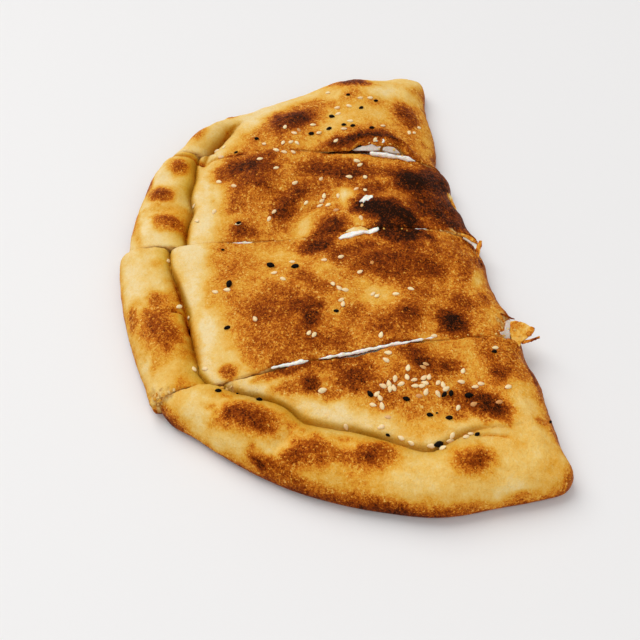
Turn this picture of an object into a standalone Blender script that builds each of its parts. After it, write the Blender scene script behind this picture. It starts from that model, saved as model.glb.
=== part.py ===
"""A baked calzone, cut across into four slices that still lie together.

The half-moon lies flat, its folded edge along +Y and its rolled rim along -Y. Each slice is a crust
shell, open at its cuts, with its own piece of the white cheese layer that runs through the bread.
"""
import math

import bmesh
import bpy
import numpy as np
from mathutils import Matrix, Vector

MM = 0.001

# Plan of the whole bread: half a superellipse, closed by the folded edge.
HALF_LENGTH = 123 * MM
DEPTH = 149 * MM
FOLD_Y = 74.8 * MM
SQUARENESS = 2.5
FOLD_BULGE = 3.5 * MM
WAIST_DEPTH = 7.5 * MM
WAIST_X = -43 * MM
WAIST_SPREAD = 38 * MM
TIP_ROUNDING = 7 * MM
OUTLINE_POINTS = 480

# Side and underside.
BELT_HEIGHT = 3.5 * MM
TUCK_INSETS = (1.2 * MM, 4 * MM, 26 * MM)
TUCK_HEIGHTS = (0.9 * MM, 0.0, 0.0)

# Top, in from the folded edge: a rounded edge, then a slow rise.
FOLD_EDGE_HEIGHT = 14 * MM
FOLD_EDGE_REACH = 13 * MM
FOLD_DOME_RISE = 5 * MM
FOLD_DOME_REACH = 25 * MM

# Top, in from the rolled rim: the roll, a crease, the shoulder, then a slow rise.
RIM_HEIGHT = 13.5 * MM
CREASE_HEIGHT = 7 * MM
SHOULDER_HEIGHT = 11.5 * MM
SHOULDER_REACH = 8 * MM
SHOULDER_OVERLAP = 1.5 * MM
RIM_DOME_RISE = 8.5 * MM
RIM_DOME_REACH = 35 * MM

# The roll's width and how far it stands off, by share of the way along the curved side.
ROLL_SHARES = (0.0, 0.19, 0.22, 0.27, 0.33, 0.40, 0.53, 0.57, 0.62, 0.65, 0.70, 0.84, 0.92, 0.96, 1.0)
ROLL_WIDTHS = tuple(w * MM for w in (10, 10, 10, 12, 20, 25, 26, 23, 17, 19, 24.5, 28, 24, 28, 28))
ROLL_RELIEFS = (0.0, 0.1, 0.9, 1.0, 1.0, 1.0, 1.0, 1.0, 1.0, 1.0, 1.0, 1.0, 1.0, 0.5, 0.0)
FOLD_BAND = 20 * MM

# How softly the height in from the fold gives way to the height in from the rim.
RIDGE_SOFTNESS = 1.5 * MM

# Where the baked top puffs up or sinks: X, Y, radius and height, in millimetres. ARCH is where the
# first slice's crust also lifts at its cut.
PUFF_EDGE = 7 * MM
PUFFS = (
    (-104, 42, 22, 4.5),
    (-78, 2, 22, 2.0),
    (-45, -14, 17, 2.5),
    (-24, 40, 18, 3.0),
    (-10, -6, 32, -3.5),
    (8, 50, 20, 2.0),
    (14, 2, 24, 2.5),
    (38, 40, 14, 2.0),
    (34, -58, 13, 1.5),
    (50, -14, 20, 3.0),
    (54, 26, 24, 3.0),
    (76, 34, 18, 1.5),
    (83, -38, 14, 2.5),
    (100, 36, 15, 2.5),
    (104, -12, 12, 2.0),
    (108, 18, 10, 1.5),
)
ARCH = ((-70, 38, 24, 4.0), (-62, 46, 12, 1.5))

# The three cuts, as X where each meets the rim side and the fold side, and the gap each stands open.
CUT_LOW_Y = -78 * MM
CUT_HIGH_Y = 78 * MM
CUTS = ((-86.5 * MM, -49.5 * MM), (-20 * MM, -5 * MM), (59.5 * MM, 53.5 * MM))
CUT_GAPS = (0.6 * MM, 0.9 * MM, 2.0 * MM)

# How each slice has slid and turned since it was cut: X, Y and degrees.
SLICE_MOVES = (
    (-1.1 * MM, 0.0, 0.0),
    (-0.5 * MM, -1.2 * MM, 0.0),
    (-0.3 * MM, -4.3 * MM, 2.5),
    (1.1 * MM, 0.4 * MM, 0.0),
)

# Crust and cheese.
CRUST_THICKNESS = 3.6 * MM
CHEESE_FOLD_INSET = 7 * MM
CHEESE_ROLL_INSET = 3 * MM
CLEARANCE = 0.35 * MM

# Mesh density, with columns in fours. Ring stations are shares of the roll's width in from the outline,
# and each ring is evened out over its neighbours this many times.
COLUMNS = 116
CHEESE_COLUMNS = 52
MIDDLE = (2 * MM, 4 * MM)
INNER_SHARES = (0.0, 0.12, 0.26, 0.42, 0.58, 0.73, 0.87)
RING_STATIONS = (1.6, 1.3, 1.1, 0.98, 0.86, 0.7, 0.5, 0.3, 0.14, 0.04)
RING_SMOOTHING = 2
CHEESE_SHARES = (0.0, 0.25, 0.5, 0.75, 0.92, 0.985)
CHEESE_BELT_DEPTH = 0.25

DOUGH_COLOUR = (0.78, 0.47, 0.16, 1.0)
CHEESE_COLOUR = (0.93, 0.90, 0.83, 1.0)


def clear_scene():
    for obj in list(bpy.data.objects):
        bpy.data.objects.remove(obj, do_unlink=True)


def curved_side(shares):
    """Points of the rim side, from the left tip (share 0) to the right tip (share 1)."""
    angles = math.pi * (1 + shares)
    across, down = np.cos(angles), np.sin(angles)
    power = 2 / SQUARENESS
    x = np.sign(across) * abs(across) ** power * HALF_LENGTH
    return np.stack([x, FOLD_Y - abs(down) ** power * DEPTH], axis=1)


def folded_side(shares):
    """Points of the folded edge, from right to left: bowed a little, with a waist."""
    x = HALF_LENGTH * (1 - 2 * shares)
    waist = WAIST_DEPTH * np.exp(-(((x - WAIST_X) / WAIST_SPREAD) ** 2))
    return np.stack([x, FOLD_Y + FOLD_BULGE - waist], axis=1)


def smooth_outline():
    """Closed plan outline, evenly spaced, with rounded tips. Marks run 0 to 1 along the rim side
    and 1 to 2 along the fold."""
    rim_shares = np.linspace(0, 1, 360)
    fold_shares = np.linspace(0, 1, 150)[1:-1]
    points = np.vstack([curved_side(rim_shares), folded_side(fold_shares)])
    marks = np.concatenate([rim_shares, 1 + fold_shares])
    closed = np.vstack([points, points[:1]])
    run = np.concatenate([[0], np.cumsum(np.linalg.norm(np.diff(closed, axis=0), axis=1))])
    at = np.linspace(0, run[-1], OUTLINE_POINTS, endpoint=False)
    even = np.stack([np.interp(at, run, closed[:, k]) for k in (0, 1)], axis=1)
    spacing = run[-1] / OUTLINE_POINTS
    for _ in range(int(2 * (TIP_ROUNDING / spacing) ** 2)):
        even = (np.roll(even, 1, 0) + 2 * even + np.roll(even, -1, 0)) / 4
    return even, np.interp(at, run, np.append(marks, 2))


OUTLINE, MARKS = smooth_outline()
RIM_LINE = OUTLINE[MARKS <= 1]
FOLD_LINE = np.vstack([OUTLINE[MARKS >= 1], OUTLINE[:1]])


def distance_to(line, points):
    """Distance of each point to an open line, and the number of the nearest stretch."""
    step = np.diff(line, axis=0)
    reach = points[:, None, :] - line[None, :-1]
    along = np.clip((reach * step).sum(2) / (step**2).sum(1), 0, 1)
    distances = np.linalg.norm(reach - along[..., None] * step, axis=2)
    return distances.min(1), distances.argmin(1)


def outline_depth(points):
    return np.minimum(distance_to(RIM_LINE, points)[0], distance_to(FOLD_LINE, points)[0])


def roll_width(marks):
    stations = (*ROLL_SHARES, 1.15, 1.85, 2.0)
    return np.interp(marks, stations, (*ROLL_WIDTHS, FOLD_BAND, FOLD_BAND, ROLL_WIDTHS[0]))


def roll_relief(marks):
    return np.interp(marks, (*ROLL_SHARES, 2.0), (*ROLL_RELIEFS, 0.0))


def quarter_round(depths, reach, low, high):
    """Height of a rounded edge that rises from low to high over reach."""
    left = 1 - np.clip(depths / reach, 0, 1)
    return low + (high - low) * np.sqrt(1 - left**2)


def slow_rise(depths, rise, reach):
    return rise * (1 - np.exp(-np.maximum(depths, 0) / reach))


def fold_height(depths):
    edge = quarter_round(depths, FOLD_EDGE_REACH, BELT_HEIGHT, FOLD_EDGE_HEIGHT)
    return edge + slow_rise(depths - FOLD_EDGE_REACH / 2, FOLD_DOME_RISE, FOLD_DOME_REACH)


def rim_height(depths, widths):
    half = widths / 2
    outer = quarter_round(depths, half, BELT_HEIGHT, RIM_HEIGHT)
    inner = quarter_round(widths - depths, half, CREASE_HEIGHT, RIM_HEIGHT)
    roll = np.where(depths < half, outer, np.where(depths < widths, inner, CREASE_HEIGHT))
    inside = depths - widths + SHOULDER_OVERLAP
    shoulder = quarter_round(inside, SHOULDER_REACH, CREASE_HEIGHT, SHOULDER_HEIGHT)
    shoulder += slow_rise(inside, RIM_DOME_RISE, RIM_DOME_REACH)
    return np.where(inside > 0, np.maximum(roll, shoulder), roll)


def puff_height(points, puffs):
    rise = np.zeros(len(points))
    for puff in puffs:
        x, y, radius, height = (value * MM for value in puff)
        squared = (points[:, 0] - x) ** 2 + (points[:, 1] - y) ** 2
        rise += height * np.exp(-2 * squared / radius**2)
    return rise


def top_height(points, puffs):
    """Top of the uncut bread over each plan point: the lower of its heights in from the fold and in
    from the rim, with a soft ridge where they meet."""
    from_fold = distance_to(FOLD_LINE, points)[0]
    from_rim, stretch = distance_to(RIM_LINE, points)
    marks = MARKS[stretch]
    plain = fold_height(from_rim)
    rolled = rim_height(from_rim, roll_width(marks))
    rim_top = plain + roll_relief(marks) * (rolled - plain)
    softness = RIDGE_SOFTNESS
    top = -softness * np.logaddexp(-fold_height(from_fold) / softness, -rim_top / softness)
    depths = np.minimum(from_fold, from_rim)
    return top + puff_height(points, puffs) * np.clip(depths / PUFF_EDGE, 0, 1)


class Spokes:
    """Plan lines from evenly spaced outline points in to the middle of the bread."""

    def __init__(self, count):
        at = np.arange(count) * OUTLINE_POINTS / count
        low = at.astype(int)
        part = (at - low)[:, None]
        self.count = count
        self.edges = OUTLINE[low] * (1 - part) + OUTLINE[(low + 1) % OUTLINE_POINTS] * part
        self.marks = MARKS[low]
        self.middle = np.array(MIDDLE)
        self.shares = np.linspace(0, 1, 80)
        lines = self.edges[:, None] + self.shares[None, :, None] * (self.middle - self.edges)[:, None]
        depths = outline_depth(lines.reshape(-1, 2)).reshape(count, -1)
        self.depths = np.maximum.accumulate(depths, axis=1)

    def inset(self, depths):
        """The point of each spoke that lies this far inside the outline, evened out along the ring."""
        found = np.array([np.interp(d, row, self.shares) for d, row in zip(depths, self.depths)])
        for _ in range(RING_SMOOTHING):
            found = (np.roll(found, 1) + 2 * found + np.roll(found, -1)) / 4
        return self.edges + found[:, None] * (self.middle - self.edges)


def with_height(points, heights):
    return np.column_stack([points, np.broadcast_to(heights, len(points))])


def loaf_rings(puffs):
    """Rings of the uncut bread's surface, from the middle of its top to that of its underside."""
    spokes = Spokes(COLUMNS)
    widths = roll_width(spokes.marks)
    first = spokes.inset(RING_STATIONS[0] * widths)
    plans = [spokes.middle + share * (first - spokes.middle) for share in INNER_SHARES]
    plans += [spokes.inset(station * widths) for station in RING_STATIONS]
    rings = [with_height(plan, top_height(plan, puffs)) for plan in plans]
    rings.append(with_height(spokes.edges, BELT_HEIGHT))
    for inset, height in zip(TUCK_INSETS, TUCK_HEIGHTS):
        rings.append(with_height(spokes.inset(np.full(COLUMNS, inset)), height))
    rings.append(with_height(spokes.inset(np.full(COLUMNS, np.inf)), 0.0))
    return rings


def cheese_rings(puffs):
    """Rings of the space inside the crust, from the middle of its roof to that of its floor."""
    spokes = Spokes(CHEESE_COLUMNS)
    roll_inset = roll_width(spokes.marks) + CHEESE_ROLL_INSET
    relief = roll_relief(spokes.marks)
    rim = spokes.inset(CHEESE_FOLD_INSET + relief * (roll_inset - CHEESE_FOLD_INSET))
    roofs = []
    floors = []
    for share in CHEESE_SHARES:
        plan = spokes.middle + share * (rim - spokes.middle)
        roof = top_height(plan, puffs) - CRUST_THICKNESS
        closing = CHEESE_BELT_DEPTH * max(0.0, (share - 0.9) / 0.1) * (roof - CRUST_THICKNESS)
        roofs.append(with_height(plan, roof - closing))
        floors.append(with_height(plan, CRUST_THICKNESS + closing))
    belt = with_height(rim, top_height(rim, puffs) / 2)
    return roofs + [belt] + floors[::-1]


def surface(name, rings):
    """A sphere primitive whose vertices are moved onto the given rings."""
    columns = len(rings[0])
    last = len(rings) - 1
    mesh = bpy.data.meshes.new(name)
    shell = bmesh.new()
    bmesh.ops.create_uvsphere(shell, u_segments=columns, v_segments=last, radius=1)
    for vert in shell.verts:
        ring = round(math.acos(max(-1.0, min(1.0, vert.co.z))) / math.pi * last)
        column = round(math.atan2(vert.co.y, vert.co.x) / (2 * math.pi) * columns) % columns
        vert.co = Vector(rings[ring][column])
    bmesh.ops.triangulate(shell, faces=shell.faces)
    shell.to_mesh(mesh)
    shell.free()
    return mesh


def cut_x(cut, y):
    low, high = CUTS[cut]
    return low + (high - low) * (y - CUT_LOW_Y) / (CUT_HIGH_Y - CUT_LOW_Y)


def keep_block(index):
    """Upright block that keeps one slice: a cube whose sides are pulled to the cuts beside it."""
    mesh = bpy.data.meshes.new(f"keep_{index + 1}")
    block = bmesh.new()
    bmesh.ops.create_cube(block, size=1)
    for vert in block.verts:
        right = vert.co.x > 0
        y = math.copysign(2 * HALF_LENGTH, vert.co.y)
        z = math.copysign(HALF_LENGTH, vert.co.z)
        cut = index if right else index - 1
        if 0 <= cut < len(CUTS):
            x = cut_x(cut, y) - math.copysign(CUT_GAPS[cut] / 2, vert.co.x)
        else:
            x = math.copysign(2 * HALF_LENGTH, vert.co.x)
        vert.co = Vector((x, y, z))
    block.to_mesh(mesh)
    block.free()
    return mesh


def material(name, colour, roughness):
    made = bpy.data.materials.new(name)
    made.use_nodes = True
    shader = made.node_tree.nodes["Principled BSDF"]
    shader.inputs["Base Color"].default_value = colour
    shader.inputs["Roughness"].default_value = roughness
    shader.inputs["Metallic"].default_value = 0.0
    return made


def cutter(name, mesh, place, collection):
    obj = bpy.data.objects.new(name, mesh)
    obj.hide_render = True
    obj.display_type = "WIRE"
    obj.matrix_world = place
    collection.objects.link(obj)
    return obj


def piece(name, mesh, look, place, collection):
    obj = bpy.data.objects.new(name, mesh.copy())
    obj.data.materials.append(look)
    obj.data.shade_smooth()
    obj.data.set_sharp_from_angle(angle=math.radians(50))
    obj.matrix_world = place
    collection.objects.link(obj)
    return obj


def boolean(obj, name, operation, other):
    modifier = obj.modifiers.new(name, "BOOLEAN")
    modifier.operation = operation
    modifier.solver = "EXACT"
    modifier.object = other


def main():
    clear_scene()
    parts = bpy.data.collections.new("calzone")
    helpers = bpy.data.collections.new("cutters")
    for collection in (parts, helpers):
        bpy.context.scene.collection.children.link(collection)
    dough_look = material("baked_dough", DOUGH_COLOUR, 0.6)
    cheese_look = material("white_cheese", CHEESE_COLOUR, 0.45)
    for index, (x, y, turn) in enumerate(SLICE_MOVES):
        number = index + 1
        puffs = PUFFS + ARCH if index == 0 else PUFFS
        loaf = surface(f"loaf_{number}", loaf_rings(puffs))
        hollow = surface(f"hollow_{number}", cheese_rings(puffs))
        place = Matrix.Translation((x, y, 0)) @ Matrix.Rotation(math.radians(turn), 4, "Z")
        keep = cutter(f"keep_{number}", keep_block(index), Matrix(), helpers)
        space = cutter(f"hollow_{number}", hollow, place, helpers)
        crust = piece(f"crust_{number}", loaf, dough_look, place, parts)
        boolean(crust, "slice", "INTERSECT", keep)
        boolean(crust, "hollow", "DIFFERENCE", space)
        cheese = piece(f"cheese_{number}", hollow, cheese_look, place, parts)
        shrink = cheese.modifiers.new("clearance", "DISPLACE")
        shrink.mid_level = 0
        shrink.strength = -CLEARANCE
        boolean(cheese, "slice", "INTERSECT", keep)


main()
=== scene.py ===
"""A baked calzone, cut into four slices: its browned crust, melted cheese, torn edges and seeds.

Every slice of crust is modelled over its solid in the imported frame, from the same named sizes. A place
on the bread is often named by where it shows in the photograph, as pixels of a 640 by 640 picture, and
the camera's ray through that pixel finds it on the bread.
"""
import contextlib
import itertools
import math

import bpy
import numpy as np
from mathutils import Matrix, Vector


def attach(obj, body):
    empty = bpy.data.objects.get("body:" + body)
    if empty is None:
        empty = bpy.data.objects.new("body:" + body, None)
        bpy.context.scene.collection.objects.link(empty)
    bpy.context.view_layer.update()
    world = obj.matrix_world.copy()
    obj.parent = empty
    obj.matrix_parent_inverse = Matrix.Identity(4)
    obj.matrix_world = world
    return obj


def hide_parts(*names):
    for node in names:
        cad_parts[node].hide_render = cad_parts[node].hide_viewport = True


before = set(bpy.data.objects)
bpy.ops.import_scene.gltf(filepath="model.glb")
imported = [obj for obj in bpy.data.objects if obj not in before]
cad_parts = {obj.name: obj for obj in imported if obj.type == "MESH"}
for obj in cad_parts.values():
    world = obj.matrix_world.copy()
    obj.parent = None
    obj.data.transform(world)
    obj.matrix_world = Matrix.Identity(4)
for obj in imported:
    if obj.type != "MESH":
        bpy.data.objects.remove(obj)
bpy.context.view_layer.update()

bl_info = {
    "name": "Baked Calzone",
    "version": (1, 0, 0),
    "blender": (4, 5, 0),
    "location": "View3D > Sidebar > Calzone",
    "description": "Models a sliced, baked calzone round its packed solids",
    "category": "Object",
}

MM = 0.001

# The view of the photograph: the camera's distance from the point that it aims at, and its angles.
PICTURE_SIDE = 640
LENS = 56.25
SENSOR = 36.0
AIM = Vector((22.59 * MM, 1.885 * MM, 0))
CAMERA_DISTANCE = 415.66 * MM
CAMERA_AZIMUTH = math.radians(-9.806)
CAMERA_ELEVATION = math.radians(48.782)
CAMERA_ROLL = math.radians(0.439)

# Plan of the whole bread: half a superellipse, closed by the folded edge.
HALF_LENGTH = 123 * MM
DEPTH = 149 * MM
FOLD_Y = 74.8 * MM
SQUARENESS = 2.5
FOLD_BULGE = 3.5 * MM
WAIST_DEPTH = 7.5 * MM
WAIST_X = -43 * MM
WAIST_SPREAD = 38 * MM
TIP_ROUNDING = 7 * MM
OUTLINE_POINTS = 480
RIM_SAMPLES = 360
FOLD_SAMPLES = 150

# Side and underside, as inset and height below the widest line.
BELT_HEIGHT = 3.5 * MM
TUCK = ((0.15, 2.6), (0.5, 1.7), (1.2, 0.9), (2.4, 0.25), (4.0, 0.0), (12.0, 0.0), (26.0, 0.0))

# Top, in from the folded edge.
FOLD_EDGE_HEIGHT = 14 * MM
FOLD_EDGE_REACH = 13 * MM
FOLD_DOME_RISE = 5 * MM
FOLD_DOME_REACH = 25 * MM

# Top, in from the rolled rim.
RIM_HEIGHT = 13.5 * MM
SHOULDER_HEIGHT = 11.5 * MM
SHOULDER_OVERLAP = 1.5 * MM
RIM_DOME_RISE = 8.5 * MM
RIM_DOME_REACH = 35 * MM
ROLL_SHARES = (0.0, 0.19, 0.22, 0.27, 0.33, 0.40, 0.53, 0.57, 0.62, 0.65, 0.70, 0.84, 0.92, 0.96, 1.0)
ROLL_WIDTHS = tuple(w * MM for w in (10, 10, 10, 12, 20, 25, 26, 23, 17, 19, 24.5, 28, 24, 28, 28))
ROLL_RELIEFS = (0.0, 0.1, 0.9, 1.0, 1.0, 1.0, 1.0, 1.0, 1.0, 1.0, 1.0, 1.0, 1.0, 0.5, 0.0)
FOLD_BAND = 20 * MM
FOLD_BAND_MARKS = (1.15, 1.85)
RIDGE_SOFTNESS = 1.5 * MM

# Broad swellings and hollows of the top: X, Y, radius and height, in millimetres.
PUFF_EDGE = 7 * MM
PUFFS = (
    (-104, 42, 22, 4.5), (-78, 2, 22, 2), (-45, -14, 17, 2.5), (-24, 40, 18, 3), (-10, -6, 32, -3.5),
    (8, 50, 20, 2), (14, 2, 24, 2.5), (38, 40, 14, 2), (34, -58, 13, 1.5), (50, -14, 20, 3),
    (54, 26, 24, 3), (76, 34, 18, 1.5), (83, -38, 14, 2.5), (100, 36, 15, 2.5), (104, -12, 12, 2),
    (108, 18, 10, 1.5),
)
ARCH = ((-70, 38, 24, 4), (-62, 46, 12, 1.5))

# The cuts, and how each slice has moved since.
CUT_LOW_Y = -78 * MM
CUT_HIGH_Y = 78 * MM
CUTS = ((-86.5 * MM, -49.5 * MM), (-20 * MM, -5 * MM), (59.5 * MM, 53.5 * MM))
CUT_GAPS = (0.6 * MM, 0.9 * MM, 2.0 * MM)
SLICE_MOVES = (
    (-1.1 * MM, 0, 0),
    (-0.5 * MM, -1.2 * MM, 0),
    (-0.3 * MM, -4.3 * MM, 2.5),
    (1.1 * MM, 0.4 * MM, 0),
)

# The space for the cheese.
CRUST_THICKNESS = 3.6 * MM
CHEESE_FOLD_INSET = 7 * MM
CHEESE_ROLL_INSET = 3 * MM
CHEESE_COLUMNS = 52
CHEESE_SHARES = (0, 0.25, 0.5, 0.75, 0.92, 0.985)
CHEESE_BELT_DEPTH = 0.25
CHEESE_CLOSING_START = 0.9
CHEESE_CLOSING_SPAN = 0.1

# Rings of the loaf before its rim is rolled and it is cut, as insets in millimetres.
LOAF_COLUMNS = 400
LOAF_SMOOTHING = 24
CHEESE_SMOOTHING = 2
SPOKE_SAMPLES = 80
MIDDLE = (2 * MM, 4 * MM)
INNER_SHARES = np.linspace(0, 1, 24)[:-1]
INSETS = (*range(30, 8, -2), 7, 6, 5, 4, 3, 2, 1.3, 0.8, 0.4, 0.15, 0.03)

# The groove beside the roll is tighter here than in its solid.
ROLL_FULLNESS = 2.6
GROOVE_HEIGHT = 8.2 * MM
PILLOW_REACH = 5.5 * MM

# Where the groove strays from its solid's: slice, pixel across and down, reach and move in millimetres,
# away from the rim.
GROOVE_MOVES = (
    (0, 217, 151, 20, 3.2), (1, 192, 212, 8, 1.3), (2, 180, 262, 14, -4.4), (2, 195, 366, 9, 2.2),
    (3, 424, 447, 10, -3), (3, 276, 411, 9, 4.2), (3, 302, 425, 6, -1),
)

# The highest that the crust may stand.
CEILING_START = 19 * MM
CEILING_RISE = 1.9 * MM

# How far the groove wanders by chance, and how deep it is pressed in.
GROOVE_WANDER = 0.7 * MM
GROOVE_DROP = 2.0 * MM

# Half widths of the groove's tint, the olive of oil with painted shade, and of its oil, towards the roll and
# towards the middle.
GROOVE_WIDTHS = (5 * MM, 1.3 * MM)
OIL_WIDTHS = (9 * MM, 1.4 * MM)

# How far the cuts stand open: for each cut, pixels across and down along it, and the gap there.
OPENINGS = (
    # first cut
    (
        (170, 156, 0.9), (195, 158, 0.5), (215, 155, 0.3), (250, 152, 0.1), (318, 150, 0.1),
        (328, 150, 1.2), (350, 150, 1.7), (368, 150, 1.5), (385, 151, 1.4), (405, 154, 1.2),
        (415, 158, 0.9), (425, 164, 0), (437, 172, -1),
    ),
    # second cut
    (
        (125, 258, 0.8), (172, 256, 0.6), (190, 248, 0.2), (226, 244, 0.2), (234, 244, 0.9),
        (250, 243, 0.9), (256, 243, 0.15), (330, 239, 0.15), (340, 238, 0.6), (348, 236, 2),
        (362, 234, 2.8), (374, 231, 3), (379, 229, 2), (383, 229, 0.3), (409, 229, 0.2),
        (426, 229, 0.4), (440, 231, 0), (458, 234, -0.3), (472, 237, -0.9),
    ),
    # third cut
    (
        (150, 404, -1.4), (165, 396, -1), (180, 388, 0), (215, 386, 0.4), (232, 378, 0.3),
        (266, 368, 0.4), (275, 366, 1.4), (300, 361, 1.6), (312, 360, 0.7), (322, 358, 0.7),
        (350, 352, 1.8), (390, 345, 1.9), (425, 338, 1.1), (436, 336, 0.2), (490, 333, 0.2),
        (500, 333, 1.2), (512, 332, 1.6),
    ),
)

# Where a slice's cut face is hollowed out: slice, how far and how high under the top edge it starts, both
# in millimetres, how dark its face is painted, which under a roof is painted shade, and the pixels between
# which it is. With a height of 0 the top edge itself is torn back.
HOLLOWS = (
    (0, 2.6, 1.4, 0.95, (320, 150), (372, 150)),
    (0, 5.6, 0, 0.7, (350, 150), (412, 154)),
    (1, 1, 1.4, 0.4, (336, 238), (380, 229)),
    (2, 1, 1, 0.6, (280, 365), (430, 337)),
)

# How near to a cut a point still lies on its face, and how much of a hollow's painted darkness shows where
# it has no roof.
CUT_FACE = 0.2 * MM
HOLLOW_FACE = 0.3 * MM
OPEN_HOLLOW_DARK_SHARE = 0.6

# How far in from a cut its opening, its raggedness and its rounded edge reach, and where hollows fade out.
CUT_REACH = 6 * MM
RAGGED_REACH = 2 * MM
EDGE_REACH = 0.8 * MM
HOLLOW_FADE = 5 * MM

# Where the outline bulges or is drawn in: pixel across and down, reach and outward move in millimetres.
EDGE_MOVES = (
    (424, 90, 9, 2.6), (429, 120, 14, -1.8), (333, 88, 15, 4.6), (205, 134, 10, 1.2), (221, 122, 6, 1.6),
    (398, 78, 13, 2.6), (236, 118, 4, 0.9), (245, 119, 5, -0.9), (163, 166, 9, 1.8), (153, 184, 9, 1.2),
    (176, 152, 5, -0.8), (189, 142, 9, 2.6), (149, 395, 7, 1.4), (161, 412, 6, 1.9), (176, 421, 7, 2.6),
    (228, 456, 16, -1.6), (270, 476, 14, -1), (320, 496, 16, -0.6), (505, 503, 20, -1.8),
    (448, 511, 20, 2.2), (552, 497, 8, -1.2), (574, 477, 5, 1.4), (449, 188, 8, 4.4), (437, 171, 4, -1.4),
    (456, 209, 9, 1.2), (464, 225, 8, 1.8), (479, 248, 7, 3.2), (486, 266, 9, 3.2), (512, 320, 5, 2.6),
    (531, 368, 8, -1.8), (537, 386, 10, 1.2),
)

# Torn places, with their crumb showing: pixel across and down, half width and half height in pixels, tilt,
# and roughness in millimetres.
TORN_PLACES = (
    (156, 397, 10, 7, -40, 1.2), (170, 391, 10, 5, -25, 0.9), (228, 389, 7, 5, -20, 0.6),
    (503, 321, 9, 9, -40, 0.7), (505, 336, 8, 6, 0, 0.6), (478, 246, 6, 9, -45, 0.8),
    (460, 235, 12, 2.5, -8, 0.5), (432, 230, 12, 1.6, 0, 0.4),
)

# Swellings and dents of the top, with no colour of their own: pixel across and down, half width and half
# height in pixels, tilt, and height in millimetres.
SWELLINGS = (
    (176, 168, 20, 12, 15, 1), (160, 195, 16, 12, -10, 0.7), (165, 225, 18, 12, 0, 0.9),
    (170, 210, 18, 5, 0, -0.7), (167, 180, 18, 5, 20, -0.6), (215, 130, 20, 9, 35, 0.5),
    (156, 330, 20, 22, 0, 0.7), (176, 370, 16, 14, 0, 0.4), (150, 285, 18, 14, 0, 0.3),
    (248, 415, 38, 16, -14, 0.9), (312, 448, 30, 13, 8, 0.9), (374, 452, 32, 14, 0, 0.9),
    (472, 455, 30, 16, 6, 0.8), (345, 470, 26, 8, -8, -0.6), (420, 462, 18, 16, 0, -0.5),
    (420, 490, 60, 8, 0, 0.3), (205, 215, 12, 26, 5, 0.4), (300, 150, 30, 10, 3, -0.5),
    (262, 170, 30, 16, 10, 0.6), (350, 157, 36, 7, 0, 1.5), (420, 182, 22, 14, -15, 0.8),
    (350, 178, 40, 14, 0, 0.6), (290, 202, 26, 12, 36, 0.8), (322, 195, 14, 18, 20, -0.5),
    (395, 208, 44, 14, -12, 0.6), (395, 192, 34, 6, -12, -0.6), (470, 380, 22, 12, 0, -0.4),
)

# Creases and lips: depth and half width in millimetres, olive tint, darkening, and the pixels on its way.
# The tint and the darkening paint shade into the crease, the tint also oil's olive. A negative depth raises a
# lip.
CREASES = (
    # end of the first slice's roll
    (2, 1, 0.4, 0.35, ((170, 155), (184, 156), (196, 159), (205, 166))),
    (-0.7, 1.2, 0, 0, ((216, 123), (226, 118), (236, 117))),
    (1.1, 1.2, 0.9, 0.26, ((238, 124), (229, 133), (221, 142), (213, 151), (206, 159), (201, 168))),
    # cut beside the second slice's body
    (1, 0.8, 0.2, 0.25, ((206, 165), (214, 159), (226, 156), (246, 153))),
    # pinch in the third slice's roll, and the hollow below it
    (1.7, 0.9, 0.3, 0.25, ((168, 311), (177, 311), (185, 316), (186, 325), (190, 333))),
    (-0.7, 1.4, 0, 0, ((166, 316), (174, 315), (181, 320), (183, 329))),
    (1.2, 2.4, 0.7, 0, ((190, 342), (193, 356), (196, 372))),
    (1.8, 0.8, 0.5, 0.4, ((175, 284), (180, 297), (184, 309), (187, 321), (189, 336))),
    # crack at the end of the fourth slice's groove
    (0.9, 0.6, 0.1, 0.2, ((478, 435), (494, 436), (512, 439))),
    (-0.5, 1.6, 0, 0, ((420, 432), (450, 427), (480, 427), (508, 431))),
    # valleys between the lobes of the fourth slice's roll
    (1.3, 2.2, 0.1, 0, ((298, 426), (289, 436), (277, 447), (268, 455))),
    (0.8, 2.2, 0, 0, ((337, 438), (341, 450), (347, 464))),
    (-0.8, 1.3, 0, 0, ((286, 437), (300, 430), (320, 431), (336, 438))),
    # lip of the arch at the first cut, and the edges of the others
    (-1.6, 1.6, 0, 0, (
        (322, 147), (340, 144), (356, 141), (372, 138), (388, 140), (400, 146), (414, 156))),
    (-0.5, 1.2, 0, 0, ((262, 243), (290, 242), (316, 240))),
    # folds of the top
    (0.8, 1.6, 0, 0, ((372, 185), (392, 187), (412, 194), (430, 206))),
    (0.7, 1.4, 0, 0.1, ((300, 214), (318, 206), (330, 192))),
    (0.9, 2, 0, 0, ((400, 345), (430, 350), (456, 352))),
    # layers along the folded edge
    (0.8, 0.6, 0, 0.12, ((438, 170), (444, 182), (448, 195), (455, 208))),
    (0.7, 0.6, 0, 0.12, ((444, 178), (452, 192), (459, 207), (466, 224))),
    (0.8, 0.6, 0, 0.15, ((456, 232), (467, 236), (477, 245), (484, 258))),
    (0.7, 0.6, 0, 0.12, ((450, 238), (462, 241), (472, 250), (480, 263))),
    # the burst blister on the second slice
    (1.2, 1.4, 0, 0.3, ((357, 204), (362, 206), (368, 204))),
)

# How far the dough has baked, from 0, raw, to 1, burnt: on the rim, more than that inside it, more again
# along the fold and on the sides, at least at the foot and at most on the folded side, and underneath.
RIM_TONE = 0.09
INNER_TONE = 0.34
FOLD_TONE = 0.20
SIDE_TONE = 0.36
FOOT_TONE = 0.72
FOLD_SIDE_TONE = 0.62
UNDERSIDE_TONE = 0.56

# Where those tones begin and end: in from the roll, in from the fold, in from the outline and up the side.
INNER_BAND = (4 * MM, 21 * MM)
FOLD_TONE_REACH = 4 * MM
OUTER_BAND = (6 * MM, 11 * MM)
SIDE_BAND = (2 * MM, 11 * MM)
FOOT_BAND = (1.2 * MM, 4.6 * MM)

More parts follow.
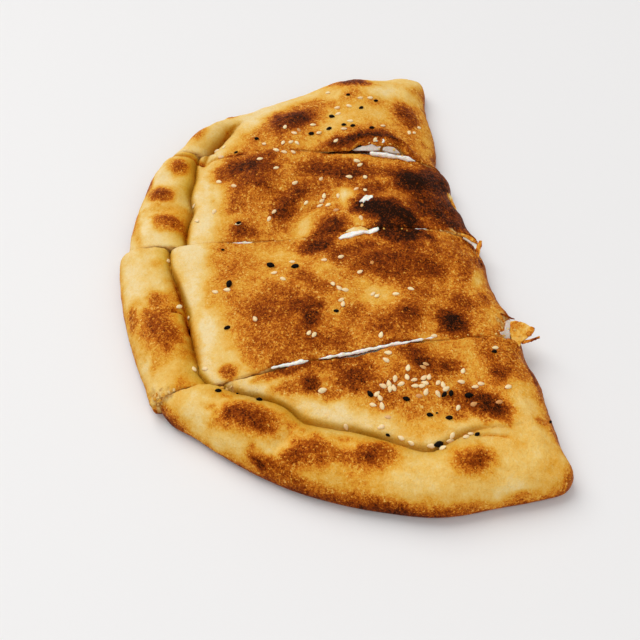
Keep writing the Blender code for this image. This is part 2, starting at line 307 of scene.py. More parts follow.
# Random unevenness, in layers: strength, size of the lumps in millimetres, and seed.
RAGGED_SPOTS = ((0.26, 6, 6), (0.16, 2.2, 7))
TONE_CLOUDS = ((0.08, 17, 4), (0.07, 6, 5), (0.04, 3, 25))
SIDE_RAGGEDNESS = ((1.4, 7, 8), (0.6, 2.5, 9))
TORN_CRUMB = ((1, 1.9, 60), (0.7, 0.95, 61))
SHEET_UNEVENNESS = ((1, 2.5, 50), (0.6, 1.1, 51))
SHEET_FLUTTER = ((1.3, 4, 52),)
FLAKE_TONES = ((0.2, 3, 53), (0.14, 1.3, 54))
CHEESE_SWELL = ((0.12, 3, 20),)
CUT_CHEESE_SWELL = ((0.12, 5, 21),)
STRAND_UNEVENNESS = ((0.45, 2.2, 22), (0.2, 0.9, 23))
BLACK_SEED_UNEVENNESS = ((0.12, 0.7, 40),)

# Where the cheese bulges out of a cut: how near to it, and by how much.
CUT_CHEESE_BAND = 0.9 * MM
CUT_CHEESE_BULGE = 0.12 * MM

CHEESE_SHEET_RAGGEDNESS = 0.4 * MM

# Sharpest edge that still looks smooth on the crust.
SMOOTH_ANGLE = math.radians(50)

# Crumbs: stretch of their axes, lift and roughness as shares of the radius, and how baked they are.
CRUMB_STRETCH = (0.55, 1.35)
CRUMB_LIFT = 0.15
CRUMB_ROUGHNESS = 0.42
CRUMB_TONES = (0.05, 0.4)
CRUMB_DRAW = 57

# Seeds: their mesh, how much their pointed end narrows, and how they vary. Lift and sinking are shares of
# their height.
SEED_SEGMENTS = 10
SEED_RINGS = 8
SESAME_PINCH = 0.34
BLACK_PINCH = 0.35
BLACK_WIDTH_SHARE = 0.7
BLACK_HEIGHT_SHARE = 0.6
SEED_TILT = 0.08
SEED_LIFT = 0.6
SEED_SIZES = (0.88, 1.06)
SEED_SINKING = 0.3
TOASTED_SINKING = 0.7
TOAST_SPREAD = 0.09
SEED_DRAW = 31

# Size and toasting of the two kinds of sesame seed.
PLAIN_SEED = (1, 0.12)
TOASTED_SEED = (0.95, 0.85)

# Stage: the floor's side in metres and how far it lies below the bread, and the lights' places and colours.
FLOOR_SIDE = 12
FLOOR_DROP = 0.02 * MM
WINDOW_PLACE = (-0.6, -0.35, 0.8)
WINDOW_COLOUR = (1, 0.985, 0.965)
FILL_PLACE = (0.75, 0.1, 0.65)
FILL_COLOUR = (1, 0.97, 0.94)

# How strongly the oil shows in each slice's groove, and at least on its roll.
OIL_SHARES = (0.5, 1, 1, 1)
ROLL_OIL = (0, 0, 0, 0.22)

# Broad changes of how far the top has baked: pixel across and down, half width and half height in
# pixels, tilt, how baked it is there, and how strongly this holds. Some paint light and shade instead: the
# palest on the rolls' and pillows' flanks beside the grooves, such as at (191, 278), (250, 385), (198, 143)
# and (217, 129), lighten slopes that lie in shade, and darker ones along the third slice's roll, such as at
# (190, 350), paint the groove's shade.
TONE_AREAS = (
    # first slice
    (398, 95, 32, 9, 0, 0.04, 0.85), (258, 114, 30, 10, 25, 0.04, 0.85), (320, 92, 34, 6, 12, 0.16, 0.7),
    (310, 88, 22, 4, 20, 0.26, 0.7), (334, 95, 12, 5, 8, 0.06, 0.7), (254, 123, 16, 7, 22, 0.06, 0.8),
    (324, 122, 18, 11, 0, 0.1, 0.8), (312, 143, 14, 6, 8, 0.34, 0.6), (345, 112, 40, 14, 5, 0.2, 0.75),
    (217, 129, 22, 8, 38, 0.02, 0.9), (198, 143, 18, 7, 40, 0.02, 0.9), (245, 121, 8, 6, 40, 0.02, 0.9),
    (258, 146, 24, 9, 10, 0.54, 0.7), (431, 125, 9, 34, -12, 0.17, 0.75),
    (424, 142, 6, 15, -14, 0.36, 0.7), (350, 146, 38, 7, 4, 0.66, 0.85),
    (400, 149, 16, 8, -38, 0.48, 0.8),
    # second slice
    (186, 152, 18, 7, 15, 0.04, 0.8), (209, 203, 12, 34, -8, 0, 0.9), (225, 217, 10, 18, 0, 0.26, 0.7),
    (432, 194, 32, 28, -42, 0.84, 0.9), (446, 202, 40, 14, -62, 0.88, 0.9),
    (362, 158, 36, 4, -6, 0.28, 0.9), (345, 193, 9, 20, 0, 0.2, 0.8), (354, 228.5, 12, 2.6, 12, 0, 0.95),
    (260, 198, 21, 20, 0, 0.66, 0.7), (318, 190, 18, 13, 0, 0.5, 0.7), (334, 208, 9, 7, 0, 0.56, 0.7),
    (352, 222, 11, 7, 0, 0.14, 0.8), (302, 234, 9, 6, 30, 0.16, 0.7), (148, 234, 14, 12, 0, 0.05, 0.8),
    (168, 209, 22, 5, 0, 0.46, 0.7), (160, 244, 14, 6, 0, 0, 0.8), (147, 184, 5, 24, 20, 0.52, 0.75),
    (133, 215, 5, 34, 12, 0.45, 0.7),
    # third slice
    (128, 280, 9, 30, 8, 0.08, 0.8), (130, 338, 8, 26, -10, 0.14, 0.7), (141, 362, 7, 16, -20, 0.12, 0.7),
    (202, 345, 12, 34, -12, 0.02, 0.9), (191, 278, 11, 30, -8, 0, 0.95), (157, 264, 8, 5, 0, 0.34, 0.7),
    (211, 299, 8, 12, 0, 0.44, 0.7), (195, 312, 7, 14, -12, 0, 0.9), (230, 352, 22, 15, 0, 0.02, 0.9),
    (295, 254, 24, 8, 4, 0.2, 0.8), (235, 258, 16, 9, 0, 0.4, 0.7), (262, 288, 32, 12, 0, 0.3, 0.7),
    (445, 296, 34, 20, 0, 0.58, 0.7), (446, 278, 12, 8, 0, 0.34, 0.6), (388, 299, 20, 7, 0, 0.34, 0.7),
    (375, 318, 40, 12, 5, 0.58, 0.6), (398, 327, 18, 7, 0, 0.66, 0.7), (352, 319, 10, 9, 0, 0.62, 0.7),
    (336, 343, 16, 5, 12, 0.46, 0.7), (169, 305, 12, 21, -14, 0.52, 0.8),
    (165, 366, 18, 24, -12, 0.26, 0.75), (162, 357, 10, 8, 0, 0.44, 0.7),
    (190, 350, 8, 44, -12, 0.4, 0.8), (152, 343, 12, 10, 0, 0.46, 0.7), (187, 385, 14, 7, 0, 0.48, 0.8),
    (300, 345, 42, 10, 12, 0.74, 0.7), (333, 308, 9, 14, 0, 0.3, 0.7), (455, 256, 26, 13, -25, 0.6, 0.7),
    (438, 250, 10, 6, 0, 0.66, 0.7), (408, 276, 20, 12, 0, 0.66, 0.7), (495, 316, 9, 14, -25, 0.22, 0.7),
    (480, 256, 6, 14, -40, 0.62, 0.8),
    # fourth slice
    (250, 385, 32, 8, -8, 0, 0.95), (325, 408, 52, 13, -10, 0.06, 0.85),
    (418, 407, 26, 13, 0, 0.46, 0.85), (370, 412, 20, 13, 0, 0.16, 0.8), (432, 430, 16, 8, 0, 0.36, 0.7),
    (405, 376, 36, 12, 0, 0.6, 0.65), (505, 424, 44, 13, -12, 0.05, 0.85),
    (538, 440, 17, 14, 0, 0.08, 0.8), (410, 426, 24, 8, 0, 0.34, 0.6), (526, 402, 18, 15, -20, 0.1, 0.85),
    (476, 376, 14, 8, 0, 0.3, 0.6), (460, 412, 12, 7, 0, 0.56, 0.7), (206, 414, 16, 18, -30, 0.03, 0.85),
    (258, 447, 20, 8, -25, 0.04, 0.9), (240, 437, 20, 5, -20, 0.24, 0.6), (226, 396, 16, 5, 0, 0.4, 0.7),
    (178, 404, 16, 9, -30, 0.16, 0.8), (176, 418, 16, 5, -38, 0.5, 0.8),
    (280, 473, 32, 6, -24, 0.62, 0.7), (330, 496, 60, 6, -14, 0.56, 0.7),
    (374, 482, 17, 20, 0, 0.38, 0.8), (326, 482, 26, 6, -6, 0.42, 0.6), (300, 397, 12, 6, 0, 0.28, 0.7),
    (186, 396, 8, 10, 0, 0.3, 0.7), (518, 388, 10, 10, 0, 0.3, 0.7), (306, 470, 36, 6, -8, 0.46, 0.7),
    (352, 470, 26, 8, 0, 0.38, 0.7), (330, 446, 12, 8, 0, 0.46, 0.6), (343, 440, 18, 5, -5, 0.5, 0.7),
    (436, 507, 44, 5, 2, 0.64, 0.8), (440, 497, 36, 5, 2, 0.46, 0.7), (380, 506, 30, 5, -8, 0.6, 0.7),
    (522, 499, 16, 3, 5, 0.48, 0.7), (492, 510, 44, 2.4, 5, 0.2, 0.8), (430, 480, 44, 12, 0, 0.1, 0.75),
    (478, 491, 32, 7, 4, 0.1, 0.75), (548, 472, 20, 12, 10, 0.4, 0.7), (568, 474, 6, 12, -10, 0.42, 0.8),
    (540, 480, 18, 8, 5, 0.34, 0.7), (510, 476, 24, 11, 10, 0.18, 0.6), (500, 357, 26, 12, -10, 0.6, 0.7),
    (526, 364, 8, 13, -20, 0.34, 0.7), (511, 338, 9, 6, 0, 0.28, 0.7),
)

# Baked spots: pixel across and down, half width and half height in pixels, tilt in degrees (rising to
# the right), darkness, and how far the blister stands up in millimetres.
SPOTS = (
    # first slice
    (354, 84, 16, 5, 0, 0.86, 0.2), (298, 119, 23, 12, 10, 0.94, 0.7), (281, 124, 13, 10, 20, 0.84, 0.3),
    (318, 107, 12, 7, 5, 0.48, 0.4), (407, 116, 14, 11, -25, 0.8, 0.6), (411, 122, 9, 7, -25, 0.76, 0.1),
    (338, 143, 14, 6, 12, 0.82, 0.2), (352, 139.5, 17, 7, 8, 0.94, 0.3),
    (372, 136.5, 17, 7, 0, 0.98, 0.3), (392, 140, 14, 6, -30, 0.9, 0.2),
    (407, 151, 12, 5, -38, 0.72, 0.1), (202, 136, 10, 5, 40, 0.48, 0.3),
    # The last spot of the next line darkens the edge along the first cut's slit: painted shade, with no
    # blister.
    (233, 117, 4, 2.5, 30, 0.62, 0.1), (376, 102, 16, 5, 0, 0.4, 0), (330, 150, 16, 3, 0, 0.6, 0),
    # second slice
    (247, 167, 29, 12, 6, 0.92, 0.8), (266, 157, 16, 8, 10, 0.76, 0.2), (222, 175, 8, 9, 10, 0.7, 0.3),
    (258, 180, 16, 8, -30, 0.78, 0.3), (243, 183, 10, 8, 0, 0.76, 0.2), (266, 167, 11, 7, 0, 0.8, 0),
    (290, 212, 9, 8, 35, 0.7, 0), (235, 205, 9, 7, 20, 0.62, 0.4), (248, 205, 10, 10, 0, 0.52, 0),
    (281, 212, 15, 10, 35, 0.86, 0.6), (297, 195, 17, 9, 38, 0.84, 0.6), (332, 228, 18, 13, 25, 0.9, 0.8),
    (243, 231, 13, 9, 10, 0.8, 0.4), (320, 168, 24, 8, 6, 0.84, 0.4), (349, 174, 22, 8, 5, 0.88, 0.5),
    (362, 170, 12, 8, 0, 0.74, 0), (318, 186, 14, 7, 0, 0.62, 0), (345, 184, 16, 5, 0, 0.62, 0),
    (388, 174, 28, 6, -8, 0.76, 0.3), (413, 182, 20, 13, -15, 1.1, 0.8),
    (430, 182, 14, 10, -40, 0.98, 0.2), (374, 208, 22, 11, -10, 1.06, 0.5),
    (402, 216, 24, 12, -18, 1.06, 0.8), (398, 228, 28, 6, 0, 0.94, 0), (384, 230, 9, 7, 0, 1, 0),
    (364, 246, 15, 7, 4, 0.76, 0), (444, 213, 16, 19, -50, 0.86, 0.3), (438, 214, 8, 6, -30, 1.02, 0),
    (452, 225, 10, 5, -30, 0.96, 0), (430, 206, 20, 15, -40, 0.9, 0.2), (405, 197, 28, 6, -30, 0.54, 0),
    (374, 188, 15, 8, 0, 0.78, 0), (181, 168, 9, 8, 15, 0.6, 1.1), (163, 195, 14, 8, -15, 0.72, 1.1),
    (151, 181, 11, 3, 60, 0.62, 0), (170, 223, 15, 9, -12, 0.62, 1.1), (181, 231, 7, 5, -30, 0.5, 0),
    # third slice
    (318, 246, 19, 9, 8, 0.92, 0.4), (405, 235, 24, 9, -4, 1.02, 0.4), (384, 260, 42, 16, 3, 0.8, 0.9),
    (340, 253, 15, 9, 10, 0.76, 0), (425, 268, 22, 11, -8, 0.82, 0.2), (305, 276, 18, 7, -30, 0.64, 0),
    (322, 286, 16, 7, -10, 0.66, 0), (454, 322, 18, 12, -10, 1.03, 0.9), (450, 330, 16, 6, 0, 0.8, 0),
    (409, 313, 15, 10, 10, 0.84, 0.6), (420, 292, 16, 8, 0, 0.62, 0), (462, 303, 13, 8, -20, 0.78, 0.4),
    (466, 274, 10, 10, 0, 0.72, 0), (438, 266, 9, 8, 0, 0.74, 0), (484, 298, 7, 6, -30, 0.66, 0.2),
    (354, 309, 11, 7, 0, 0.64, 0.1), (384, 326, 12, 9, -20, 0.7, 0.1), (277, 305, 30, 24, 15, 0.67, 0.4),
    (262, 313, 14, 12, 0, 0.72, 0.1), (309, 318, 12, 19, 0, 0.9, 0.3), (300, 306, 11, 8, 0, 0.82, 0),
    (229, 268, 11, 12, 20, 0.44, 0.1), (243, 294, 22, 10, -30, 0.36, 0), (228, 371, 8, 7, 10, 0.66, 0.3),
    (398, 339, 18, 3, 10, 0.72, 0), (264, 342, 30, 15, 10, 0.58, 0), (330, 338, 30, 13, 20, 0.45, 0),
    (342, 261, 9, 7, 0, 0.66, 0), (280, 360, 18, 6, 10, 0.62, 0), (456, 250, 14, 16, -50, 0.58, 0),
    (159, 325, 23, 17, -38, 0.68, 0.9), (133, 320, 6, 12, 10, 0.56, 0), (169, 335, 11, 9, -30, 0.7, 0.3),
    (156, 299, 10, 9, 0, 0.58, 0),
    # fourth slice
    (293, 367.5, 28, 5, 12, 0.76, 0), (272, 374, 16, 5, 12, 0.56, 0), (338, 364, 26, 6, 11, 0.72, 0),
    (310, 384, 12, 9, 0, 0.88, 0.7), (294, 386, 20, 7, 5, 0.6, 0), (356, 378, 19, 15, 5, 0.82, 0.7),
    (334, 393, 14, 7, 0, 0.52, 0), (372, 388, 16, 10, -20, 0.6, 0), (413, 352, 20, 8, -5, 0.8, 0.4),
    (420, 362, 12, 6, -10, 0.92, 0), (447, 366, 16, 9, -5, 0.8, 0.2), (499, 373, 9, 8, -20, 0.78, 0.4),
    (500, 352, 22, 10, -15, 0.58, 0), (485, 404, 25, 12, -22, 0.9, 0.9), (494, 409, 12, 7, -20, 0.92, 0),
    (458, 398, 16, 7, 0, 0.66, 0), (385, 402, 20, 9, 0, 0.56, 0), (415, 412, 14, 7, 0, 0.5, 0),
    (541, 421, 6, 4, 0, 0.56, 0.1), (532.5, 371, 3, 18, 22, 0.8, 0), (249, 418, 34, 16, -13, 0.67, 1.2),
    (234, 417, 14, 9, -20, 0.78, 0), (252, 424, 18, 8, -20, 0.78, 0), (258, 468, 13, 3, -30, 0.84, 0.1),
    (309, 452, 24, 12, 10, 0.66, 0.7), (294, 460, 13, 9, 0, 0.74, 0), (318, 459, 22, 8, 4, 0.6, 0),
    (340, 456, 18, 9, 0, 0.56, 0), (275, 472, 24, 5, -26, 0.66, 0), (388, 384, 14, 7, 0, 0.64, 0),
    (378, 454, 25, 12, -4, 0.71, 0.9), (368, 456, 10, 6, 0, 0.78, 0), (477, 460, 21, 14, 4, 0.63, 0.9),
    (477, 461, 10, 7, 0, 0.76, 0),
)

# Pale patches that the oven missed, in the same way but with no height: how pale instead of how dark. The one
# at (240, 381) is painted light: it lightens the fourth slice's pillow where it lies in shade.
PALE_PATCHES = (
    (380, 294, 24, 9, 5, 0.2), (240, 381, 22, 5, -8, 0.05), (251, 448, 10, 6, -25, 0.06),
    (477, 277, 9, 14, -35, 0.22), (305, 222, 8, 7, 60, 0.14), (360, 282, 10, 8, 0, 0.14),
    (326, 266, 11, 5, 15, 0.12), (355, 228, 13, 4, 12, 0.1), (233, 139, 14, 4, 50, 0),
    (346, 195, 7, 14, 0, 0.18), (440, 340, 24, 7, 5, 0.14),
)

# Sesame seeds: pixel across and down, and the long axis' angle in degrees, rising to the right.
SESAME = (
    (324, 260, 0), (341, 257, 30), (360, 272, 25), (333, 284, -60), (339, 288, -45), (345, 290, 0),
    (373, 294, 40), (377, 296, 40), (396, 294, 0), (411, 289, -15), (341, 300, 20), (343, 304, 80),
    (381, 335, 75), (434, 336, 5), (388, 353, -5), (386, 360, -30), (408, 368, 80), (407, 377, -75),
    (395, 379, 85), (401, 384, 20), (383, 386, -20), (389, 384, -80), (390, 389, 85), (394, 388, -70),
    (414, 380, 15), (415, 386, 0), (424, 378, 45), (429, 377, 80), (422, 386, 10), (425, 383, -15),
    (426, 392, 70), (438, 383, 50), (443, 385, -80), (446, 389, 35), (438, 394, -60), (463, 371, 70),
    (461, 382, -5), (475, 387, 15), (481, 384, 5), (508, 387, 15), (495, 348, 10), (377, 394, 45),
    (380, 398, -60), (323, 390, 5), (373, 405, -15), (382, 406, -80), (458, 408, 65), (346, 427, -70),
    (381, 427, 20), (452, 436, 60), (450, 441, 5), (466, 437, 20), (471, 434, 15), (401, 438, -30),
    (411, 443, -30), (431, 446, 0), (443, 448, 25), (285, 127, 70), (294, 133, -20), (283, 143, 60),
    (291, 142, 20), (297, 143, -40), (264, 144, -15), (276, 150, -10), (284, 152, -10), (293, 152, -40),
    (260, 159, 10), (276, 168, 15), (219, 182, -10), (234, 186, -10), (321, 179, 50), (295, 183, 30),
    (349, 177, 0), (356, 189, 30), (324, 196, 80), (322, 201, 40), (320, 206, 20), (328, 205, 30),
    (338, 196, 90), (306, 203, 50), (274, 212, 45), (269, 219, 60), (238, 224, 10), (214, 212, 60),
    (194, 206, 60), (197, 221, -30), (336, 141, 40), (313, 125, 10), (319, 133, 20), (344, 129, 0),
    (350, 121, 0), (337, 108, 15), (338, 114, 20), (349, 106, -10), (328, 93, 0), (224, 147, 50),
    (217, 151, 30), (221, 157, 10), (375, 140, 60), (383, 126, 10), (409, 133, 80), (414, 133, 40),
    (419, 128, 10), (360, 98, 0), (370, 98, 0), (357, 161, -10), (360, 165, 30), (365, 177, -60),
    (365, 190, -50), (361, 218, -60), (292, 262, 0), (274, 273, 10), (283, 279, -20), (215, 292, -15),
    (227, 290, 0), (255, 319, -60), (309, 333, 55), (314, 335, 50), (194, 369, -70), (205, 369, 0),
    (168, 261, 10), (322, 391, 5), (179, 307, 20), (189, 318, 0),
)

# Sesame seeds that the oven has browned, in the same way.
TOASTED_SESAME = (
    (372, 262, 90), (426, 364, -15), (423, 367, -20), (419, 396, 0), (474, 404, 20), (499, 402, 10),
    (299, 130, -60), (362, 206, 80), (336, 210, 10), (388, 417, 0),
)

# Black seeds: pixel across and down, angle and size share.
BLACK_SEEDS = (
    (348, 95, 0, 0.85), (332, 117, 0, 0.95), (344, 125, 0, 0.95), (353, 126, 10, 0.9),
    (329, 129, 15, 0.95), (311, 134, 10, 1), (257, 139, -10, 1), (236, 153, 45, 0.9),
    (239, 223, 10, 0.85), (376, 101, 0, 0.8), (361, 108, 15, 0.95), (372, 128, 0, 0.9),
    (271, 266, -15, 1.3), (295, 267, 10, 1.3), (229, 285, 70, 1.3), (227, 328, 20, 0.95),
    (223, 250, 0, 0.55), (218, 391, 0, 0.9), (237, 394, 0, 0.5), (259, 400, -5, 1), (336, 311, 0, 0.75),
    (494, 352, 0, 0.75), (370, 394, -50, 1.05), (406, 399, -15, 1.05), (444, 395, 45, 1.05),
    (451, 394, 80, 1.05), (469, 396, 0, 1.1), (430, 415, -10, 0.95), (437, 413, 0, 0.4), (449, 418, 0, 1),
    (388, 435, -30, 0.65), (438, 444, 10, 1.4), (477, 435, 30, 0.85), (550, 422, 60, 0.6),
)

# Melted cheese that shows at the cuts: the cut in whose plane it lies and how far before that plane in
# millimetres, or None and how far it has sunk where it lies on the bread, and its way as pixel across,
# pixel down and radius in millimetres.
CHEESE_STRANDS = (
    (2, 0, ((271, 368, 0.2), (280, 366.3, 0.7), (290, 364.6, 0.9), (301, 362, 0.75), (309, 360.5, 0.25))),
    (2, 0, ((318, 359, 0.2), (330, 357, 0.45), (342, 355, 0.65), (362, 351, 0.8), (388, 345.5, 0.8),
        (410, 341.5, 0.6), (424, 339, 0.35), (436, 337, 0.2))),
    (1, 0, ((229, 244.5, 0.3), (237, 244, 0.75), (245, 243.5, 0.7), (252, 243.5, 0.3))),
    (1, 0, ((411, 229.5, 0.2), (418, 229, 0.4), (427, 229, 0.25))),
    (0, -0.8, ((370, 153.3, 0.5), (378, 154, 1.1), (386, 155, 1.15), (395, 156.7, 0.75), (404, 158, 1.15),
        (412, 160.8, 1.1), (418, 164, 0.4))),
    (None, 0.2, ((372, 143, 0.3), (375, 141, 0.6), (378, 141, 0.3))),
    (None, 0.2, ((382, 143, 0.3), (384, 141, 0.55), (383, 139, 0.25))),
)

# Flat pieces of cheese in wider gaps: thickness in millimetres, how baked (under the first cut's arch the
# baked grey is painted shade), and the corners as pixel across, pixel down and height over the floor in
# millimetres.
CHEESE_SHEETS = (
    (0.8, 0, ((358.7, 202.3, 18.9), (360.5, 200.6, 19.2), (361.8, 198.3, 19.4), (364, 196.4, 19.5),
        (366.5, 195, 19.6), (369, 195.3, 19.6), (371, 194.8, 19.6), (373.2, 196, 19.4),
        (373, 197.4, 19.4), (370.5, 199.2, 19.4), (368.4, 200.9, 19.3), (366.4, 200.2, 19.3),
        (364.6, 201.6, 19.2), (363.4, 203.6, 18.9), (362.4, 201.4, 19.2), (360.4, 202.2, 19))),
    # The next two sheets lie under the first cut's arch: their baked grey is painted shade.
    (1.5, 0.9, ((352, 150.5, 17.3), (359, 148, 17.8), (366, 145.5, 18.2), (373, 144.3, 18.4),
        (379, 144.5, 18.4), (381, 147.5, 18), (379, 151, 17.2), (372, 152.5, 16.8), (361, 152, 17))),
    (1.3, 1, ((383, 148, 17.8), (388, 146.5, 18), (393, 148, 17.6), (397, 151, 17), (400, 154, 16.4),
        (393, 154, 16.4), (386, 152.5, 16.8), (382.5, 151, 17.2))),
    (0.9, 0, ((338, 238.4, 17.1), (342, 235.2, 17.3), (347, 233, 17.5), (352, 231.6, 17.6),
        (357, 231.6, 17.7), (362, 230.6, 17.8), (367, 230.4, 17.8), (372, 228.8, 17.8),
        (376, 228.6, 17.7), (378.6, 227.6, 17.5), (379.3, 230, 17.5), (377, 232, 17.7),
        (373.6, 232.4, 17.8), (370, 233.8, 17.9), (366.5, 233, 17.9), (363.6, 232.9, 17.9),
        (360, 234.6, 17.9), (356, 235, 17.9), (352, 236.6, 17.8), (347.5, 238, 17.7), (343, 238.6, 17.5),
        (340, 239.6, 17.2))),
    (0.9, 0.9, ((495, 333.5, 12.8), (500, 332.5, 12.9), (504, 331, 12.4), (505.5, 326, 11.7),
        (506, 320.5, 11.4), (509, 319.2, 11.2), (512, 320.6, 11.3), (510, 325, 11.2), (509.5, 332, 11.2),
        (510, 339, 10.8), (508, 341, 10.9), (503, 337.5, 11.8), (497, 335.5, 12.4))),
    (0.9, 0.4, ((464, 236, 11), (470, 238, 10.6), (475, 241, 10.2), (479, 246, 9.8), (480, 252, 9),
        (477, 252, 9.2), (473, 246, 9.8), (468, 241.5, 10.4), (463, 238.5, 11))),
)

# Torn flakes of crust: thickness in millimetres, how baked, and the corners as pixel across, pixel down
# and height over the floor in millimetres.
FLAKES = (
    (0.7, 0.31, ((509.5, 323.5, 11.3), (511, 320.8, 11.5), (517, 320.6, 11.8), (521, 321.6, 12),
        (526, 323.5, 12.2), (529, 326, 12.4), (533, 327.5, 12.8), (534, 330, 12.8), (531.5, 333, 12.5),
        (529, 336.5, 12.1), (525, 339, 11.4), (521.5, 342, 10.8), (520, 346.5, 10), (516, 345.5, 10),
        (512.5, 341.5, 10.4), (509.5, 335, 10.8), (510, 329, 11.1))),
    (0.5, 0.02, ((343, 233.8, 17), (347.5, 229.6, 17.2), (353, 227, 17.4), (360, 226.2, 17.5),
        (366, 227.8, 17.5), (368.5, 229.8, 17.5), (361, 231.6, 17.3), (352, 232.8, 17.2))),
    (0.6, 0.58, ((521, 341, 10.8), (528, 338.7, 11.6), (534, 337.4, 12.6), (539.5, 336.2, 14.2),
        (540, 338.2, 14.2), (535, 340.3, 12.8), (529, 342.3, 11.4), (522, 343.4, 10.6))),
    (0.5, 0.56, ((527, 329.5, 12.6), (529, 326.5, 12.8), (532, 326.5, 13.2), (534.5, 328, 13.4),
        (533.8, 331.5, 13.2), (531.5, 335.5, 12.7), (528, 336.5, 12.5), (526.5, 333, 12.5))),
    (0.5, 0.66, ((498, 312, 10.6), (504, 314.2, 10.8), (510, 316.2, 11), (515, 317.8, 11.3),
        (515.5, 319.4, 11.4), (511, 318.6, 11), (505, 316.6, 10.8), (499, 314.4, 10.6))),
    # The next, nearly black flake lies over the first cut's slit: a dark sheet that paints its shadow.
    (0.5, 0.98, ((325, 150.8, 16.8), (333, 149.8, 17.1), (345, 149.4, 17.3), (357, 149.9, 17.3),
        (369, 151.4, 17.1), (371, 154.2, 17), (358, 154, 17.1), (345, 153.6, 17.1), (333, 153.2, 17))),
    (0.6, 0.5, ((461, 233, 12), (467, 235, 11.6), (473, 238.5, 11), (478, 242, 10.6), (478, 244.5, 10.4),
        (472, 241.5, 10.8), (466, 238, 11.4), (461, 235.5, 11.8))),
    (0.6, 0.5, ((476, 246, 10), (479, 240.5, 11), (482, 240.5, 11.4), (482, 246, 10.8), (480.5, 251, 9.6),
        (479, 258, 8.6), (476, 258, 8.8), (475.5, 252, 9.2))),
    (0.5, 0.16, ((435.5, 171, 8.4), (440, 174.5, 7.6), (445, 178.5, 7), (447.8, 187, 6.4), (450, 196, 6),
        (449, 199, 6), (446.3, 190, 6.6), (443, 182, 7.2), (438, 176.5, 8))),
    (0.5, 0.22, ((445.8, 186, 7), (449.5, 194, 6), (453.5, 203, 5.6), (458.5, 215, 5.4),
        (458.5, 219, 5.4), (453.5, 208, 6), (448.6, 198, 6.6), (445.2, 190, 7.2))),
    (0.45, 0.46, ((443, 180, 8), (446, 184, 7.6), (448, 193, 7.2), (450, 202, 7), (449, 203, 7.2),
        (446, 195, 7.8), (443, 186, 8.2))),
)

# Crumbs torn loose at the cuts: pixel across and down, and radius in millimetres.
CRUMBS = (
    (345, 239.5, 0.4), (402, 229, 0.5), (407, 230.5, 0.35), (431, 231, 0.45), (436, 232, 0.35),
    (441, 231, 0.55), (447, 233, 0.3), (455, 233.5, 0.5), (459, 234.5, 0.4), (464, 235.5, 0.45),
    (384, 229, 0.4), (262, 242, 0.3), (275, 241.5, 0.4), (290, 241, 0.3), (305, 240, 0.45),
    (312, 240, 0.3), (228, 243.5, 0.3), (255, 244, 0.4), (155, 399, 0.5), (158, 401, 0.6),
    (157, 395, 0.7), (160, 400, 0.5), (163, 395, 0.7), (167, 398, 0.5), (169, 392, 0.7), (174, 390, 0.6),
    (158, 404, 0.6), (179, 387, 0.5), (162, 404, 0.5), (222, 388, 0.6), (227, 389.5, 0.6),
    (231, 387, 0.6), (379, 149, 0.5), (382, 151, 0.6), (394, 150, 0.6), (398, 154, 0.5), (402, 156, 0.5),
    (369, 143, 0.4), (390, 144, 0.5), (421, 163, 0.4), (427, 164, 0.3), (499, 331, 0.4), (502, 328, 0.5),
    (505, 323, 0.6), (508, 329, 0.4), (496, 334, 0.4), (503, 339, 0.5), (515, 330, 0.5), (519, 336, 0.5),
    (455, 336, 0.3), (468, 335, 0.3), (481, 334, 0.4), (446, 336, 0.3),
)


def from_screen(red, green, blue):
    """A colour picked on a screen, 0 to 255, as Blender's linear values with full alpha."""
    shares = [part / 255 for part in (red, green, blue)]
    return (*(s / 12.92 if s <= 0.04045 else ((s + 0.055) / 1.055) ** 2.4 for s in shares), 1.0)


def colour_prop(name, description, *screen):
    """A colour that a user may change, by default as on a screen."""
    return bpy.props.FloatVectorProperty(name=name, description=description, default=from_screen(*screen),
                                         subtype="COLOR", size=4, min=0, max=1)


def length_prop(name, description, default):
    """A length that a user may change."""
    return bpy.props.FloatProperty(name=name, description=description, default=default, unit="LENGTH")


class CrustSettings(bpy.types.PropertyGroup):
    """Sizes and colours of the baked crust."""

    spacing: length_prop("Mesh spacing", "Size of the crust's faces", 0.5 * MM)
    lump_depth: length_prop("Lumps", "Height of the broad unevenness of the top", 0.5 * MM)
    ripple_depth: length_prop("Ripples", "Height of the finer unevenness", 0.25 * MM)
    grain_depth: length_prop("Grain", "Height of the crust's granular skin", 0.08 * MM)
    pale: colour_prop("Pale dough", "Dough that has hardly coloured", 249, 224, 168)
    straw: colour_prop("Straw", "Lightly baked dough", 244, 203, 116)
    golden: colour_prop("Golden", "Evenly baked dough", 234, 171, 60)
    amber: colour_prop("Amber", "Well baked dough", 212, 123, 30)
    brown: colour_prop("Brown", "Browned blisters", 162, 76, 8)
    dark: colour_prop("Dark brown", "Tops of the darkest blisters", 120, 47, 1)
    char: colour_prop("Charred", "Burnt spots", 34, 12, 0)
    crumb: colour_prop("Crumb", "Inside of the dough at a cut", 236, 196, 116)


class FlakeSettings(bpy.types.PropertyGroup):
    """Sizes of the torn flakes and crumbs of crust."""

    spacing: length_prop("Mesh spacing", "Size of the flakes' faces", 0.3 * MM)
    raggedness: length_prop("Raggedness", "How uneven the flakes are", 0.5 * MM)


class CheeseSettings(bpy.types.PropertyGroup):
    """Sizes and colour of the melted cheese."""

    spacing: length_prop("Mesh spacing", "Size of the cheese's faces", 0.8 * MM)
    strand_spacing: length_prop("Strand spacing", "Size of the strands' faces", 0.3 * MM)
    colour: colour_prop("Cheese", "Melted white cheese", 250, 247, 240)
    # The baked colour also paints shade on the cheese under the first cut's arch.
    baked: colour_prop("Baked cheese", "Where the cheese has dried in the oven", 198, 180, 166)
    oily: colour_prop("Oily cheese", "Where the cheese has soaked up oil", 236, 222, 190)


